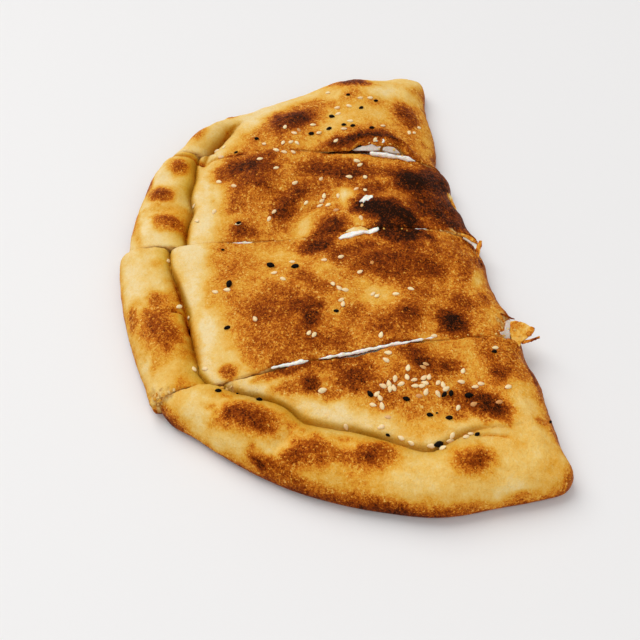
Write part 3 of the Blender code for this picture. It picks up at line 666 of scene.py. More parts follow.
class SeedSettings(bpy.types.PropertyGroup):
    """Sizes and colours of the seeds."""

    sesame_length: length_prop("Sesame length", "Length of a sesame seed", 3.0 * MM)
    sesame_width: length_prop("Sesame width", "Width of a sesame seed", 1.95 * MM)
    sesame_height: length_prop("Sesame height", "Thickness of a sesame seed", 1.0 * MM)
    black_length: length_prop("Black seed length", "Length of a black seed", 2.8 * MM)
    sesame: colour_prop("Sesame", "Hulled sesame", 252, 229, 178)
    toasted: colour_prop("Toasted sesame", "Sesame browned by the oven", 206, 138, 64)
    black: colour_prop("Black seed", "Dull black seed coat", 11, 7, 5)


class StageSettings(bpy.types.PropertyGroup):
    """Floor and light."""

    floor: colour_prop("Floor", "Colour of the plain floor", 238, 238, 239)
    window: bpy.props.FloatProperty(
        name="Window light", description="Strength of the large soft light", default=1.9, min=0)
    window_spread: bpy.props.FloatProperty(
        name="Window spread", description="Width of the soft light as seen from the bread",
        default=math.radians(50), min=0, subtype="ANGLE")
    fill: bpy.props.FloatProperty(
        name="Fill light", description="Strength of the weak light from the front", default=0.85, min=0)
    fill_spread: bpy.props.FloatProperty(
        name="Fill spread", description="Width of the weak light as seen from the bread",
        default=math.radians(80), min=0, subtype="ANGLE")
    sky: bpy.props.FloatProperty(
        name="Sky", description="Strength of the light from all round", default=0.37, min=0)


# Shader maths


class Signal:
    """One shader socket that works in ordinary sums."""

    def __init__(self, finish, socket):
        self.finish = finish
        self.socket = socket

    def _math(self, operation, *values):
        return self.finish.node("ShaderNodeMath", {"operation": operation}, dict(enumerate(values)))

    def __add__(self, other):
        return self._math("ADD", self, other)

    __radd__ = __add__

    def __sub__(self, other):
        return self._math("SUBTRACT", self, other)

    def __rsub__(self, other):
        return self._math("SUBTRACT", other, self)

    def __mul__(self, other):
        return self._math("MULTIPLY", self, other)

    __rmul__ = __mul__

    def clamped(self):
        return self.finish.node("ShaderNodeClamp", {}, {"Value": self})

    def stepped(self, low, high):
        """0 below low and 1 above high, with a smooth rise between."""
        settings = {"interpolation_type": "SMOOTHSTEP"}
        return self.finish.node("ShaderNodeMapRange", settings, {"Value": self, 1: low, 2: high})


class Finish:
    """A material in the making."""

    def __init__(self, name):
        self.material = bpy.data.materials.new(name)
        self.material.use_nodes = True
        self.tree = self.material.node_tree
        self.shader = self.tree.nodes["Principled BSDF"]
        self.coords = self.node("ShaderNodeTexCoord", {}, {}, "Object")

    def node(self, kind, settings, values, output=0):
        """A node with its settings, then its sockets' values or links; gives one of its outputs."""
        made = self.tree.nodes.new(kind)
        for key, value in settings.items():
            if key == "stops":
                self._set_stops(made.color_ramp, value)
            else:
                setattr(made, key, value)
        for key, value in values.items():
            self._fill(made.inputs[key], value)
        return Signal(self, made.outputs[output])

    def _fill(self, socket, value):
        if isinstance(value, Signal):
            self.tree.links.new(value.socket, socket)
        else:
            socket.default_value = value

    @staticmethod
    def _set_stops(ramp, stops):
        while len(ramp.elements) < len(stops):
            ramp.elements.new(1.0)
        for element, (place, colour) in zip(ramp.elements, stops):
            element.position = place
            element.color = colour

    def noise(self, size, detail=2.0, roughness=0.5, distortion=0.0):
        values = {"Vector": self.coords, "Scale": 1 / size, "Detail": detail, "Roughness": roughness,
                  "Distortion": distortion}
        return self.node("ShaderNodeTexNoise", {}, values)

    def attribute(self, name):
        return self.node("ShaderNodeAttribute", {"attribute_name": name}, {}, "Fac")

    def mix(self, factor, first, second, blend="MIX"):
        settings = {"data_type": "RGBA", "blend_type": blend}
        return self.node("ShaderNodeMix", settings, {0: factor, 6: first, 7: second}, 2)

    def ramp(self, factor, stops):
        return self.node("ShaderNodeValToRGB", {"stops": stops}, {"Fac": factor})

    def bump(self, height, distance, strength=1.0):
        return self.node("ShaderNodeBump", {}, {"Height": height, "Distance": distance, "Strength": strength})

    def set(self, **sockets):
        for name, value in sockets.items():
            self._fill(self.shader.inputs[name.replace("_", " ")], value)


# Tints of the finishes that no setting holds.
OIL_TINT = from_screen(255, 236, 142)
# The groove's tint: the olive of oil, and painted shade in the groove and the creases.
GROOVE_OLIVE_AND_SHADE = from_screen(190, 166, 34)
OPEN_CRUMB = from_screen(176, 112, 36)
WORN_SEED = from_screen(30, 22, 18)
FLOOR_SHADE = from_screen(228, 229, 232)

# Noises of the crust: the size of their clouds, detail, roughness and distortion.
CLOUD = (9 * MM, 4, 0.6)
MOTTLE = (2.4 * MM, 5, 0.7, 0.5)
SPECK = (1.25 * MM, 4, 0.85, 0.2)
GRAIN = (0.95 * MM, 3, 0.7, 0.3)
PORE = (0.6 * MM, 2, 0.6)

# Noises of the cheese, its grain, the two seed coats and the floor.
CHEESE_CLOUD = (3 * MM, 3, 0.55)
CHEESE_GRAIN = (0.8 * MM, 2, 0.5)
SESAME_GRAIN = (0.5 * MM, 2, 0.5)
BLACK_GRAIN = (0.35 * MM, 3, 0.6)
FLOOR_CLOUD = (40 * MM, 2, 0.5)

# Between which levels each of these sets in.
BROWNED = (0.18, 0.6)
CHARRED = (0.8, 1.0)
BLISTER = (0.48, 0.70)
DIMPLE = (0.50, 0.70)
# Light specks: flour, and painted glints of the crust's oily sheen.
FLOUR_AND_GLINTS = (0.57, 0.64)
CRUMB_PORES = (0.35, 0.65)
OILY_CHEESE = (0.45, 0.75)
WORN_COAT = (0.4, 0.75)

# How baked the dough is where each colour of the crust is pure.
BAKED_STOPS = (
    (0.0, "pale"),
    (0.15, "straw"),
    (0.31, "golden"),
    (0.46, "amber"),
    (0.62, "brown"),
    (0.79, "dark"),
    (1.0, "char"),
)


def crust_finish(settings):
    """Dough from pale to burnt, mottled and speckled where it has browned, with painted glints among the
    specks and painted shade in the grooves.
    """
    look = Finish("baked_crust")
    baking = look.attribute("baking")
    browned = baking.stepped(*BROWNED)
    charred = baking.stepped(*CHARRED)
    cloud, mottle, speck, grain, pore = (look.noise(*kind) for kind in (CLOUD, MOTTLE, SPECK, GRAIN, PORE))
    blister = grain.stepped(*BLISTER)
    dimple = pore.stepped(*DIMPLE)
    flour_and_glints = speck.stepped(*FLOUR_AND_GLINTS)
    tone = baking + (cloud - 0.5) * 0.14 + (mottle - 0.5) * (0.26 + browned * 0.50)
    tone = tone - blister * (0.055 + browned * 0.20 - charred * 0.05) + dimple * (0.06 + browned * 0.17)
    # Light specks: flour, and painted glints of the crust's oily sheen.
    tone = tone - flour_and_glints * (0.04 + browned * 0.27)
    skin = look.ramp(tone.clamped(), [(place, getattr(settings, name)) for place, name in BAKED_STOPS])
    oiled = (look.attribute("oil") * (0.7 + mottle * 0.6)).clamped()
    skin = look.mix(oiled, skin, OIL_TINT, "MULTIPLY")
    # In the groove and the creases the skin is multiplied by an olive tint: oil's colour and painted shade.
    olive_and_shade = (look.attribute("groove") * (1 - browned * 0.5)).clamped()
    skin = look.mix(olive_and_shade, skin, GROOVE_OLIVE_AND_SHADE, "MULTIPLY")
    inside = look.mix(mottle.stepped(*CRUMB_PORES), settings.crumb, OPEN_CRUMB)
    colour = look.mix(look.attribute("crumb"), skin, inside)
    relief = look.bump(grain + mottle * 0.7 + speck * 0.5 - pore * 0.5, 0.42 * MM, 1.0)
    roughness = (0.66 - browned * 0.16 + (mottle - 0.5) * 0.3).clamped()
    look.set(Base_Color=colour, Roughness=roughness, Normal=relief)
    look.set(Specular_IOR_Level=0.04, Subsurface_Weight=0.02, Subsurface_Scale=1.0 * MM)
    return look.material


def cheese_finish(settings):
    """Soft white cheese, with oily clouds and greyed, baked places, which under the first cut's arch are
    painted shade.
    """
    look = Finish("melted_cheese")
    cloud = look.noise(*CHEESE_CLOUD)
    fine = look.noise(*CHEESE_GRAIN)
    colour = look.mix(cloud.stepped(*OILY_CHEESE), settings.colour, settings.oily)
    # The baked grey: painted shade where the cheese lies under the first cut's arch.
    baked = (look.attribute("baked") * (0.6 + fine * 0.6)).clamped()
    colour = look.mix(baked, colour, settings.baked)
    relief = look.bump(cloud + fine * 0.4, 0.2 * MM, 0.6)
    look.set(Base_Color=colour, Roughness=0.32 + fine * 0.2, Normal=relief)
    look.set(Subsurface_Weight=0.25, Subsurface_Scale=1.5 * MM, Coat_Weight=0.15, Coat_Roughness=0.25)
    return look.material


def sesame_finish(settings):
    """Pale seed coat, as toasted as each seed is."""
    look = Finish("sesame_coat")
    fine = look.noise(*SESAME_GRAIN)
    toast = (look.attribute("toast") + (fine - 0.5) * 0.3).clamped()
    colour = look.mix(toast, settings.sesame, settings.toasted)
    look.set(Base_Color=colour, Roughness=0.42 + fine * 0.1, Normal=look.bump(fine, 0.05 * MM, 0.6))
    look.set(Specular_IOR_Level=0.3, Subsurface_Weight=0.15, Subsurface_Scale=0.6 * MM)
    return look.material


def black_seed_finish(settings):
    """Dull black seed coat, a little worn."""
    look = Finish("black_seed_coat")
    fine = look.noise(*BLACK_GRAIN)
    colour = look.mix(fine.stepped(*WORN_COAT), settings.black, WORN_SEED)
    look.set(Base_Color=colour, Roughness=0.5 + fine * 0.2, Normal=look.bump(fine, 0.08 * MM, 0.8))
    look.set(Specular_IOR_Level=0.05)
    return look.material


def floor_finish(settings):
    """Plain pale floor, hardly clouded."""
    look = Finish("plain_floor")
    fine = look.noise(*FLOOR_CLOUD)
    look.set(Base_Color=look.mix(fine * 0.04, settings.floor, FLOOR_SHADE), Roughness=0.55)
    return look.material


# The bread's form, as functions of its plan


def bell(distances, width):
    """1 at no distance, falling off smoothly past the width."""
    return np.exp(-((distances / width) ** 2))


def rising(values, low, high):
    """0 below low and 1 above high, with a smooth rise between."""
    share = np.clip((values - low) / (high - low), 0, 1)
    return share * share * (3 - 2 * share)


def falling(values, low, high):
    """1 below low and 0 above high, with a smooth fall between."""
    return 1 - rising(values, low, high)


def curved_side(shares):
    """Points of the rim side, from the left tip (share 0) to the right tip (share 1)."""
    angles = math.pi * (1 + shares)
    across, down = np.cos(angles), np.sin(angles)
    power = 2 / SQUARENESS
    x = np.sign(across) * abs(across) ** power * HALF_LENGTH
    return np.stack([x, FOLD_Y - abs(down) ** power * DEPTH], axis=1)


def folded_side(shares):
    """Points of the folded edge, from right to left: bowed a little, with a waist."""
    x = HALF_LENGTH * (1 - 2 * shares)
    waist = WAIST_DEPTH * bell(x - WAIST_X, WAIST_SPREAD)
    return np.stack([x, FOLD_Y + FOLD_BULGE - waist], axis=1)


def smooth_outline():
    """Closed plan outline, evenly spaced, with rounded tips. Marks run 0 to 1 along the rim side
    and 1 to 2 along the fold."""
    rim_shares = np.linspace(0, 1, RIM_SAMPLES)
    fold_shares = np.linspace(0, 1, FOLD_SAMPLES)[1:-1]
    points = np.vstack([curved_side(rim_shares), folded_side(fold_shares)])
    marks = np.concatenate([rim_shares, 1 + fold_shares])
    closed = np.vstack([points, points[:1]])
    run = np.concatenate([[0], np.cumsum(np.linalg.norm(np.diff(closed, axis=0), axis=1))])
    at = np.linspace(0, run[-1], OUTLINE_POINTS, endpoint=False)
    even = np.stack([np.interp(at, run, closed[:, k]) for k in (0, 1)], axis=1)
    spacing = run[-1] / OUTLINE_POINTS
    for _ in range(int(2 * (TIP_ROUNDING / spacing) ** 2)):
        even = (np.roll(even, 1, 0) + 2 * even + np.roll(even, -1, 0)) / 4
    return even, np.interp(at, run, np.append(marks, 2))


OUTLINE, MARKS = smooth_outline()
RIM_LINE = OUTLINE[MARKS <= 1]
FOLD_LINE = np.vstack([OUTLINE[MARKS >= 1], OUTLINE[:1]])

# How many points are measured at once.
BATCH = 4000


def distance_to(line, points):
    """Distance of each point to an open line, and the number of the nearest stretch."""
    step = np.diff(line, axis=0)
    length = (step**2).sum(1)
    distances = []
    stretches = []
    for batch in np.array_split(points, max(1, len(points) // BATCH)):
        reach_x = batch[:, None, 0] - line[None, :-1, 0]
        reach_y = batch[:, None, 1] - line[None, :-1, 1]
        along = np.clip((reach_x * step[:, 0] + reach_y * step[:, 1]) / length, 0, 1)
        squared = (reach_x - along * step[:, 0]) ** 2 + (reach_y - along * step[:, 1]) ** 2
        nearest = squared.argmin(1)
        stretches.append(nearest)
        distances.append(np.sqrt(squared[np.arange(len(batch)), nearest]))
    return np.concatenate(distances), np.concatenate(stretches)


def outline_depth(points):
    return np.minimum(distance_to(RIM_LINE, points)[0], distance_to(FOLD_LINE, points)[0])


def roll_width(marks):
    stations = (*ROLL_SHARES, *FOLD_BAND_MARKS, 2.0)
    return np.interp(marks, stations, (*ROLL_WIDTHS, FOLD_BAND, FOLD_BAND, ROLL_WIDTHS[0]))


def roll_relief(marks):
    return np.interp(marks, (*ROLL_SHARES, 2.0), (*ROLL_RELIEFS, 0.0))


def quarter_round(depths, reach, low, high):
    """Height of a rounded edge that rises from low to high over reach."""
    left = 1 - np.clip(depths / reach, 0, 1)
    return low + (high - low) * np.sqrt(1 - left**2)


def slow_rise(depths, rise, reach):
    return rise * (1 - np.exp(-np.maximum(depths, 0) / reach))


def fold_height(depths):
    edge = quarter_round(depths, FOLD_EDGE_REACH, BELT_HEIGHT, FOLD_EDGE_HEIGHT)
    return edge + slow_rise(depths - FOLD_EDGE_REACH / 2, FOLD_DOME_RISE, FOLD_DOME_REACH)


def rim_height(depths, widths):
    half = widths / 2
    outer = quarter_round(depths, half, BELT_HEIGHT, RIM_HEIGHT)
    past = np.clip((depths - half) / half, 0, 1)
    inner = GROOVE_HEIGHT + (RIM_HEIGHT - GROOVE_HEIGHT) * (1 - past**ROLL_FULLNESS) ** (1 / ROLL_FULLNESS)
    roll = np.where(depths < half, outer, inner)
    inside = depths - widths + SHOULDER_OVERLAP
    shoulder = quarter_round(inside, PILLOW_REACH, GROOVE_HEIGHT, SHOULDER_HEIGHT)
    shoulder += slow_rise(inside, RIM_DOME_RISE, RIM_DOME_REACH)
    return np.where(inside > 0, np.maximum(roll, shoulder), roll)


def puff_height(points, puffs):
    rise = np.zeros(len(points))
    for puff in puffs:
        x, y, radius, height = (value * MM for value in puff)
        squared = (points[:, 0] - x) ** 2 + (points[:, 1] - y) ** 2
        rise += height * np.exp(-2 * squared / radius**2)
    return rise


class Plan:
    """Where plan points of the uncut bread lie: how far in from the rim and the fold, and the roll
    beside them."""

    def __init__(self, points):
        self.points = points
        self.from_fold = distance_to(FOLD_LINE, points)[0]
        self.from_rim, stretch = distance_to(RIM_LINE, points)
        self.marks = MARKS[stretch]
        self.widths = roll_width(self.marks)
        self.reliefs = roll_relief(self.marks)
        self.depths = np.minimum(self.from_fold, self.from_rim)

    def plain_top(self):
        """Top of the bread over each point before its rim is rolled."""
        return fold_height(self.depths)

    def top(self, puffs, wander=0):
        """Top of the bread over each point: the lower of its heights in from the fold and from the
        rim, with a soft ridge where they meet."""
        plain = fold_height(self.from_rim)
        rim_top = plain + self.reliefs * (rim_height(self.from_rim, self.widths + wander) - plain)
        softness = RIDGE_SOFTNESS
        top = -softness * np.logaddexp(-fold_height(self.from_fold) / softness, -rim_top / softness)
        return top + puff_height(self.points, puffs) * np.clip(self.depths / PUFF_EDGE, 0, 1)


class Spokes:
    """Plan lines from evenly spaced outline points in to the middle of the bread."""

    def __init__(self, count, smoothing):
        at = np.arange(count) * OUTLINE_POINTS / count
        low = at.astype(int)
        part = (at - low)[:, None]
        self.smoothing = smoothing
        self.edges = OUTLINE[low] * (1 - part) + OUTLINE[(low + 1) % OUTLINE_POINTS] * part
        self.marks = MARKS[low]
        self.middle = np.array(MIDDLE)
        self.shares = np.linspace(0, 1, SPOKE_SAMPLES)
        lines = self.edges[:, None] + self.shares[None, :, None] * (self.middle - self.edges)[:, None]
        depths = outline_depth(lines.reshape(-1, 2)).reshape(count, -1)
        self.depths = np.maximum.accumulate(depths, axis=1)

    def inset(self, depths):
        """The point of each spoke that lies this far inside the outline, evened out along the ring."""
        depths = np.broadcast_to(depths, len(self.edges))
        found = np.array([np.interp(d, row, self.shares) for d, row in zip(depths, self.depths)])
        for _ in range(self.smoothing):
            found = (np.roll(found, 1) + 2 * found + np.roll(found, -1)) / 4
        return self.edges + found[:, None] * (self.middle - self.edges)


def with_height(points, heights):
    return np.column_stack([points, np.broadcast_to(heights, len(points))])


def loaf_rings():
    """Rings of the uncut bread with no roll yet, from the middle of its top to that of its underside."""
    spokes = Spokes(LOAF_COLUMNS, LOAF_SMOOTHING)
    first = spokes.inset(INSETS[0] * MM)
    plans = [spokes.middle + share * (first - spokes.middle) for share in INNER_SHARES]
    plans += [spokes.inset(inset * MM) for inset in INSETS]
    rings = [with_height(plan, Plan(plan).plain_top()) for plan in plans]
    rings.append(with_height(spokes.edges, BELT_HEIGHT))
    rings += [with_height(spokes.inset(inset * MM), height * MM) for inset, height in TUCK]
    rings.append(with_height(spokes.inset(np.inf), 0.0))
    return rings


def cheese_rings(puffs):
    """Rings of the space inside the crust, from the middle of its roof to that of its floor."""
    spokes = Spokes(CHEESE_COLUMNS, CHEESE_SMOOTHING)
    roll_inset = roll_width(spokes.marks) + CHEESE_ROLL_INSET
    relief = roll_relief(spokes.marks)
    rim = spokes.inset(CHEESE_FOLD_INSET + relief * (roll_inset - CHEESE_FOLD_INSET))
    roofs = []
    floors = []
    for share in CHEESE_SHARES:
        plan = spokes.middle + share * (rim - spokes.middle)
        roof = Plan(plan).top(puffs) - CRUST_THICKNESS
        closing = max(0.0, (share - CHEESE_CLOSING_START) / CHEESE_CLOSING_SPAN)
        closing = CHEESE_BELT_DEPTH * closing * (roof - CRUST_THICKNESS)
        roofs.append(with_height(plan, roof - closing))
        floors.append(with_height(plan, CRUST_THICKNESS + closing))
    belt = with_height(rim, Plan(rim).top(puffs) / 2)
    return roofs + [belt] + floors[::-1]


# Handling of meshes

LUMP_TABLE = 32


def only(obj):
    """Leaves this one object selected and active."""
    bpy.ops.object.select_all(action="DESELECT")
    obj.select_set(True)
    bpy.context.view_layer.objects.active = obj


def vectors(collection, key):
    """A vector of every element of a mesh, as rows."""
    flat = np.empty(len(collection) * 3, np.float32)
    collection.foreach_get(key, flat)
    return flat.reshape(-1, 3).astype(float)


def places(obj):
    return vectors(obj.data.vertices, "co")


def normals(obj):
    return vectors(obj.data.vertex_normals, "vector")


def move_to(obj, points):
    obj.data.vertices.foreach_set("co", np.asarray(points, np.float32).ravel())
    obj.data.update()


@contextlib.contextmanager
def edit_mode(obj):
    """Opens an object for editing."""
    only(obj)
    bpy.ops.object.mode_set(mode="EDIT")
    yield
    bpy.ops.object.mode_set(mode="OBJECT")


def paint(obj, name, values):
    """Stores one number for each vertex, which the materials read."""
    attribute = obj.data.attributes.get(name) or obj.data.attributes.new(name, "FLOAT", "POINT")
    attribute.data.foreach_set("value", np.broadcast_to(values, len(obj.data.vertices)).astype(np.float32))


def finish_with(obj, kind, **settings):
    """Adds a modifier and applies it."""
    only(obj)
    modifier = obj.modifiers.new(kind.lower(), kind)
    for key, value in settings.items():
        setattr(modifier, key, value)
    bpy.ops.object.modifier_apply(modifier=modifier.name)


def new_piece(name, material):
    """Names the primitive that was just added and gives it its material."""
    piece = bpy.context.object
    piece.name = name
    piece.data.name = name
    piece.data.materials.clear()
    piece.data.materials.append(material)
    return piece


def ringed(name, rings, material):
    """A sphere primitive whose vertices are moved onto the given rings."""
    columns = len(rings[0])
    last = len(rings) - 1
    bpy.ops.object.select_all(action="DESELECT")
    bpy.ops.mesh.primitive_uv_sphere_add(segments=columns, ring_count=last, radius=1)
    piece = new_piece(name, material)
    unit = places(piece)
    ring = np.round(np.arccos(np.clip(unit[:, 2], -1, 1)) / math.pi * last).astype(int)
    column = np.round(np.arctan2(unit[:, 1], unit[:, 0]) / (2 * math.pi) * columns).astype(int) % columns
    move_to(piece, np.stack(rings)[ring, column])
    return piece


def joined(pieces, name):
    """Makes one smooth object of several."""
    only(pieces[0])
    for piece in pieces:
        piece.select_set(True)
    bpy.ops.object.join()
    bpy.ops.object.shade_smooth()
    pieces[0].name = name
    pieces[0].data.name = name
    return pieces[0]


def lumps(points, size, seed):
    """Smooth random field between -1 and 1, whose lumps are about size across."""
    table = np.random.default_rng(seed).uniform(-1, 1, (LUMP_TABLE,) * 3)
    where = points / size
    low = np.floor(where).astype(int)
    part = where - low
    part = part * part * (3 - 2 * part)
    total = np.zeros(len(points))
    for corner in itertools.product((0, 1), repeat=3):
        weight = np.prod(np.where(corner, part, 1 - part), axis=1)
        total += weight * table[tuple(((low + corner) % LUMP_TABLE).T)]
    return total


def layered(points, layers):
    """Sum of random fields, each given by its strength, the size of its lumps in millimetres and its seed."""
    return sum(strength * lumps(points, size * MM, seed) for strength, size, seed in layers)


def in_plan(points):
    """The points without their height, for a field that doesn't change with it."""
    return points * (1, 1, 0)


# The photograph's view


def camera_turn():
    """The camera's axes, as columns: right, up and back."""
    look = Matrix.Rotation(math.pi / 2 + CAMERA_AZIMUTH, 3, "Z")
    look = look @ Matrix.Rotation(math.pi / 2 - CAMERA_ELEVATION, 3, "X")
    return look @ Matrix.Rotation(CAMERA_ROLL, 3, "Z")


CAMERA_TURN = camera_turn()
CAMERA_PLACE = AIM + CAMERA_DISTANCE * CAMERA_TURN.col[2]
FOCAL_PIXELS = LENS / SENSOR * PICTURE_SIDE


def sight_line(across, down):
    """Direction from the camera through a pixel."""
    half = PICTURE_SIDE / 2
    line = Vector(((across - half) / FOCAL_PIXELS, (half - down) / FOCAL_PIXELS, -1))
    return (CAMERA_TURN @ line).normalized()


def on_plane(across, down, point, normal):
    """Where a pixel's sight line meets a plane."""
    line = sight_line(across, down)
    reach = (point - CAMERA_PLACE).dot(normal) / line.dot(normal)
    return CAMERA_PLACE + reach * line


BREAD_LEVEL = Vector((0, 0, 12 * MM))
EDGE_LEVEL = Vector((0, 0, 4 * MM))
UP = Vector((0, 0, 1))
LINE_ROUNDINGS = 2


def on_bread(across, down):
    """Where a pixel's sight line lands on the bread: the place and the surface's normal."""
    layer = bpy.context.view_layer
    hit, place, normal, _, _, _ = bpy.context.scene.ray_cast(
        layer.depsgraph, CAMERA_PLACE, sight_line(across, down))
    if hit:
        return place, normal
    return on_plane(across, down, BREAD_LEVEL, UP), UP.copy()


def plan_place(across, down):
    """Where a pixel's sight line lands on the bread, seen from above."""
    return np.array(on_bread(across, down)[0][:2])


class Spot:
    """A patch of the crust whose outline is an ellipse in the photograph."""

    def __init__(self, across, down, wide, high, tilt):
        centre, _ = on_bread(across, down)
        turn = math.radians(tilt)
        cos, sin = math.cos(turn), math.sin(turn)
        first = on_plane(across + wide * cos, down - wide * sin, centre, UP) - centre
        second = on_plane(across + high * sin, down + high * cos, centre, UP) - centre
        self.centre = np.array(centre[:2])
        self.axes = np.linalg.inv(np.array([first[:2], second[:2]]).T)

    def reach(self, points):
        """Distance from the centre, as a share of the way to the spot's outline."""
        local = (points[:, :2] - self.centre) @ self.axes.T
        return np.sqrt((local**2).sum(1))

    def mound(self, points, steepness=1.6):
        """1 at the centre, falling off smoothly towards the outline."""
        return np.exp(-steepness * self.reach(points) ** 2)


class Line:
    """A line over the crust that is drawn through pixels of the photograph."""

    def __init__(self, way):
        line = np.array([plan_place(*pixel) for pixel in way])
        for _ in range(LINE_ROUNDINGS):
            first, last = line[:1], line[-1:]
            quarters = np.stack([line[:-1] * 0.75 + line[1:] * 0.25, line[:-1] * 0.25 + line[1:] * 0.75], 1)
            line = np.vstack([first, quarters.reshape(-1, 2), last])
        self.line = line

    def cover(self, points, width):
        """1 on the line and 0 away from it, fading out at its ends."""
        margin = 3 * width
        near = np.all((points > self.line.min(0) - margin) & (points < self.line.max(0) + margin), axis=1)
        cover = np.zeros(len(points))
        if near.any():
            distance = distance_to(self.line, points[near])[0]
            ends = [np.linalg.norm(points[near] - end, axis=1) for end in (self.line[0], self.line[-1])]
            fade = rising(np.minimum(*ends), 0, 2.5 * width)
            cover[near] = np.exp(-((distance / width) ** 1.6)) * (0.25 + 0.75 * fade)
        return cover


# Crust

STEP_OPTIONS = {"REGISTER", "UNDO"}


def cut_plane(cut, side):
    """A point and the normal of the face that a slice has at a cut. Side is -1 before the cut and 1
    after it."""
    low, high = CUTS[cut]
    middle = low + (high - low) * -CUT_LOW_Y / (CUT_HIGH_Y - CUT_LOW_Y)
    normal = Vector((CUT_HIGH_Y - CUT_LOW_Y, low - high, 0)).normalized()
    return Vector((middle + side * CUT_GAPS[cut] / 2, 0, 0)), normal


def cut_sides(index):
    """The cuts beside a slice, with the side that it has at each."""
    return [(cut, side) for cut, side in ((index - 1, 1), (index, -1)) if 0 <= cut < len(CUTS)]


def slice_puffs(index):
    return PUFFS + ARCH if index == 0 else PUFFS


def slide(points, index, back=False):
    """Moves points of the uncut bread to where a slice has slid and turned, or back again."""
    x, y, turn = SLICE_MOVES[index]
    angle = math.radians(turn)
    spin = np.array([[math.cos(angle), -math.sin(angle)], [math.sin(angle), math.cos(angle)]])
    moved = points.copy()
    if back:
        moved[:, :2] = (points[:, :2] - (x, y)) @ spin
    else:
        moved[:, :2] = points[:, :2] @ spin.T + (x, y)
    return moved


def cut_slice(piece, index):
    """Bisects the loaf at the cuts on both sides of a slice."""
    with edit_mode(piece):
        for cut, side in cut_sides(index):
            place, normal = cut_plane(cut, side)
            bpy.ops.mesh.select_all(action="SELECT")
            bpy.ops.mesh.bisect(plane_co=place, plane_no=normal, use_fill=True,
                                clear_inner=side > 0, clear_outer=side < 0)


def along_cut(points, cut, side):
    """How deep points lie inside a slice from its cut face, and how far along it."""
    place, normal = cut_plane(cut, side)
    away = points[:, :2] - np.array(place[:2])
    return away @ np.array(normal[:2]) * side, away @ np.array((-normal.y, normal.x))


def simple_underside(piece):
    """Makes one face of the flat underside's many."""
    with edit_mode(piece):
        bpy.ops.mesh.select_all(action="DESELECT")
    faces = piece.data.polygons
    flat = (vectors(faces, "center")[:, 2] < 0.03 * MM) & (vectors(faces, "normal")[:, 2] < -0.999)
    faces.foreach_set("select", flat)
    with edit_mode(piece):
        bpy.ops.mesh.select_mode(type="FACE")
        bpy.ops.mesh.dissolve_faces(use_verts=True)


def roll_rim(piece, index, marks):
    """Lifts the plain loaf's top to that of the rolled, puffed bread."""
    points = places(piece)
    loaf = slide(points, index, back=True)
    plan = Plan(loaf[:, :2])
    plain = plan.plain_top()
    lift = plan.top(slice_puffs(index), groove_wander(points, index, marks)) - plain
    points[:, 2] += lift * np.clip(points[:, 2] / plain, 0, 1)
    move_to(piece, points)


def groove_wander(points, index, marks):
    """How much farther from the rim the groove lies than in its solid."""
    wander = GROOVE_WANDER * lumps(in_plan(points), 12 * MM, 2)
    for number, at, reach, move in marks.groove_moves:
        if number == index:
            wander += move * np.exp(-(((points[:, :2] - at) ** 2).sum(1) / reach**2))
    return wander


def bake_slice(index, marks, settings, material):
    number = index + 1
    piece = ringed(f"baked_crust_{number}", loaf_rings(), material)
    move_to(piece, slide(places(piece), index))
    cut_slice(piece, index)
    finish_with(piece, "REMESH", mode="VOXEL", voxel_size=settings.spacing)
    roll_rim(piece, index, marks)
    hollow = ringed(f"hollow_{number}", cheese_rings(slice_puffs(index)), material)
    move_to(hollow, slide(places(hollow), index))
    finish_with(piece, "BOOLEAN", operation="DIFFERENCE", solver="MANIFOLD", object=hollow)
    bpy.data.objects.remove(hollow)
    simple_underside(piece)
    Skin(piece, index, settings, marks).shape()
    only(piece)
    bpy.ops.object.shade_smooth_by_angle(angle=SMOOTH_ANGLE)
    return piece


def with_spots(entries):
    """A spot in place of the first five numbers of each entry."""
    return [(Spot(*entry[:5]), *entry[5:]) for entry in entries]


class BakeMarks:
    """Everything on the crust that is placed by pixels."""

    def __init__(self):
        self.areas = with_spots(TONE_AREAS)
        self.spots = with_spots(SPOTS)
        self.pale = with_spots(PALE_PATCHES)
        self.swellings = with_spots(SWELLINGS)
        self.torn = with_spots(TORN_PLACES)
        self.creases = [(Line(way), *entry) for *entry, way in CREASES]
        self.openings = [np.array([(*plan_place(across, down), gap * MM) for across, down, gap in cut])
                         for cut in OPENINGS]
        self.groove_moves = [(index, plan_place(across, down), reach * MM, move * MM)
                             for index, across, down, reach, move in GROOVE_MOVES]
        self.hollows = [(index, reach * MM, roof * MM, darkness, np.array([plan_place(*end) for end in ends]))
                        for index, reach, roof, darkness, *ends in HOLLOWS]
        self.edge_moves = [self.edge_move(*entry) for entry in EDGE_MOVES]

    @staticmethod
    def edge_move(across, down, reach, outward):
        """The outline's nearest point to a pixel, and the move there."""
        at = np.array(on_plane(across, down, EDGE_LEVEL, UP)[:2])
        nearest = np.linalg.norm(OUTLINE - at, axis=1).argmin()
        ahead = OUTLINE[(nearest + 3) % OUTLINE_POINTS] - OUTLINE[nearest - 3]
        away = np.array((ahead[1], -ahead[0])) / np.linalg.norm(ahead)
        return OUTLINE[nearest], reach * MM, away * outward * MM


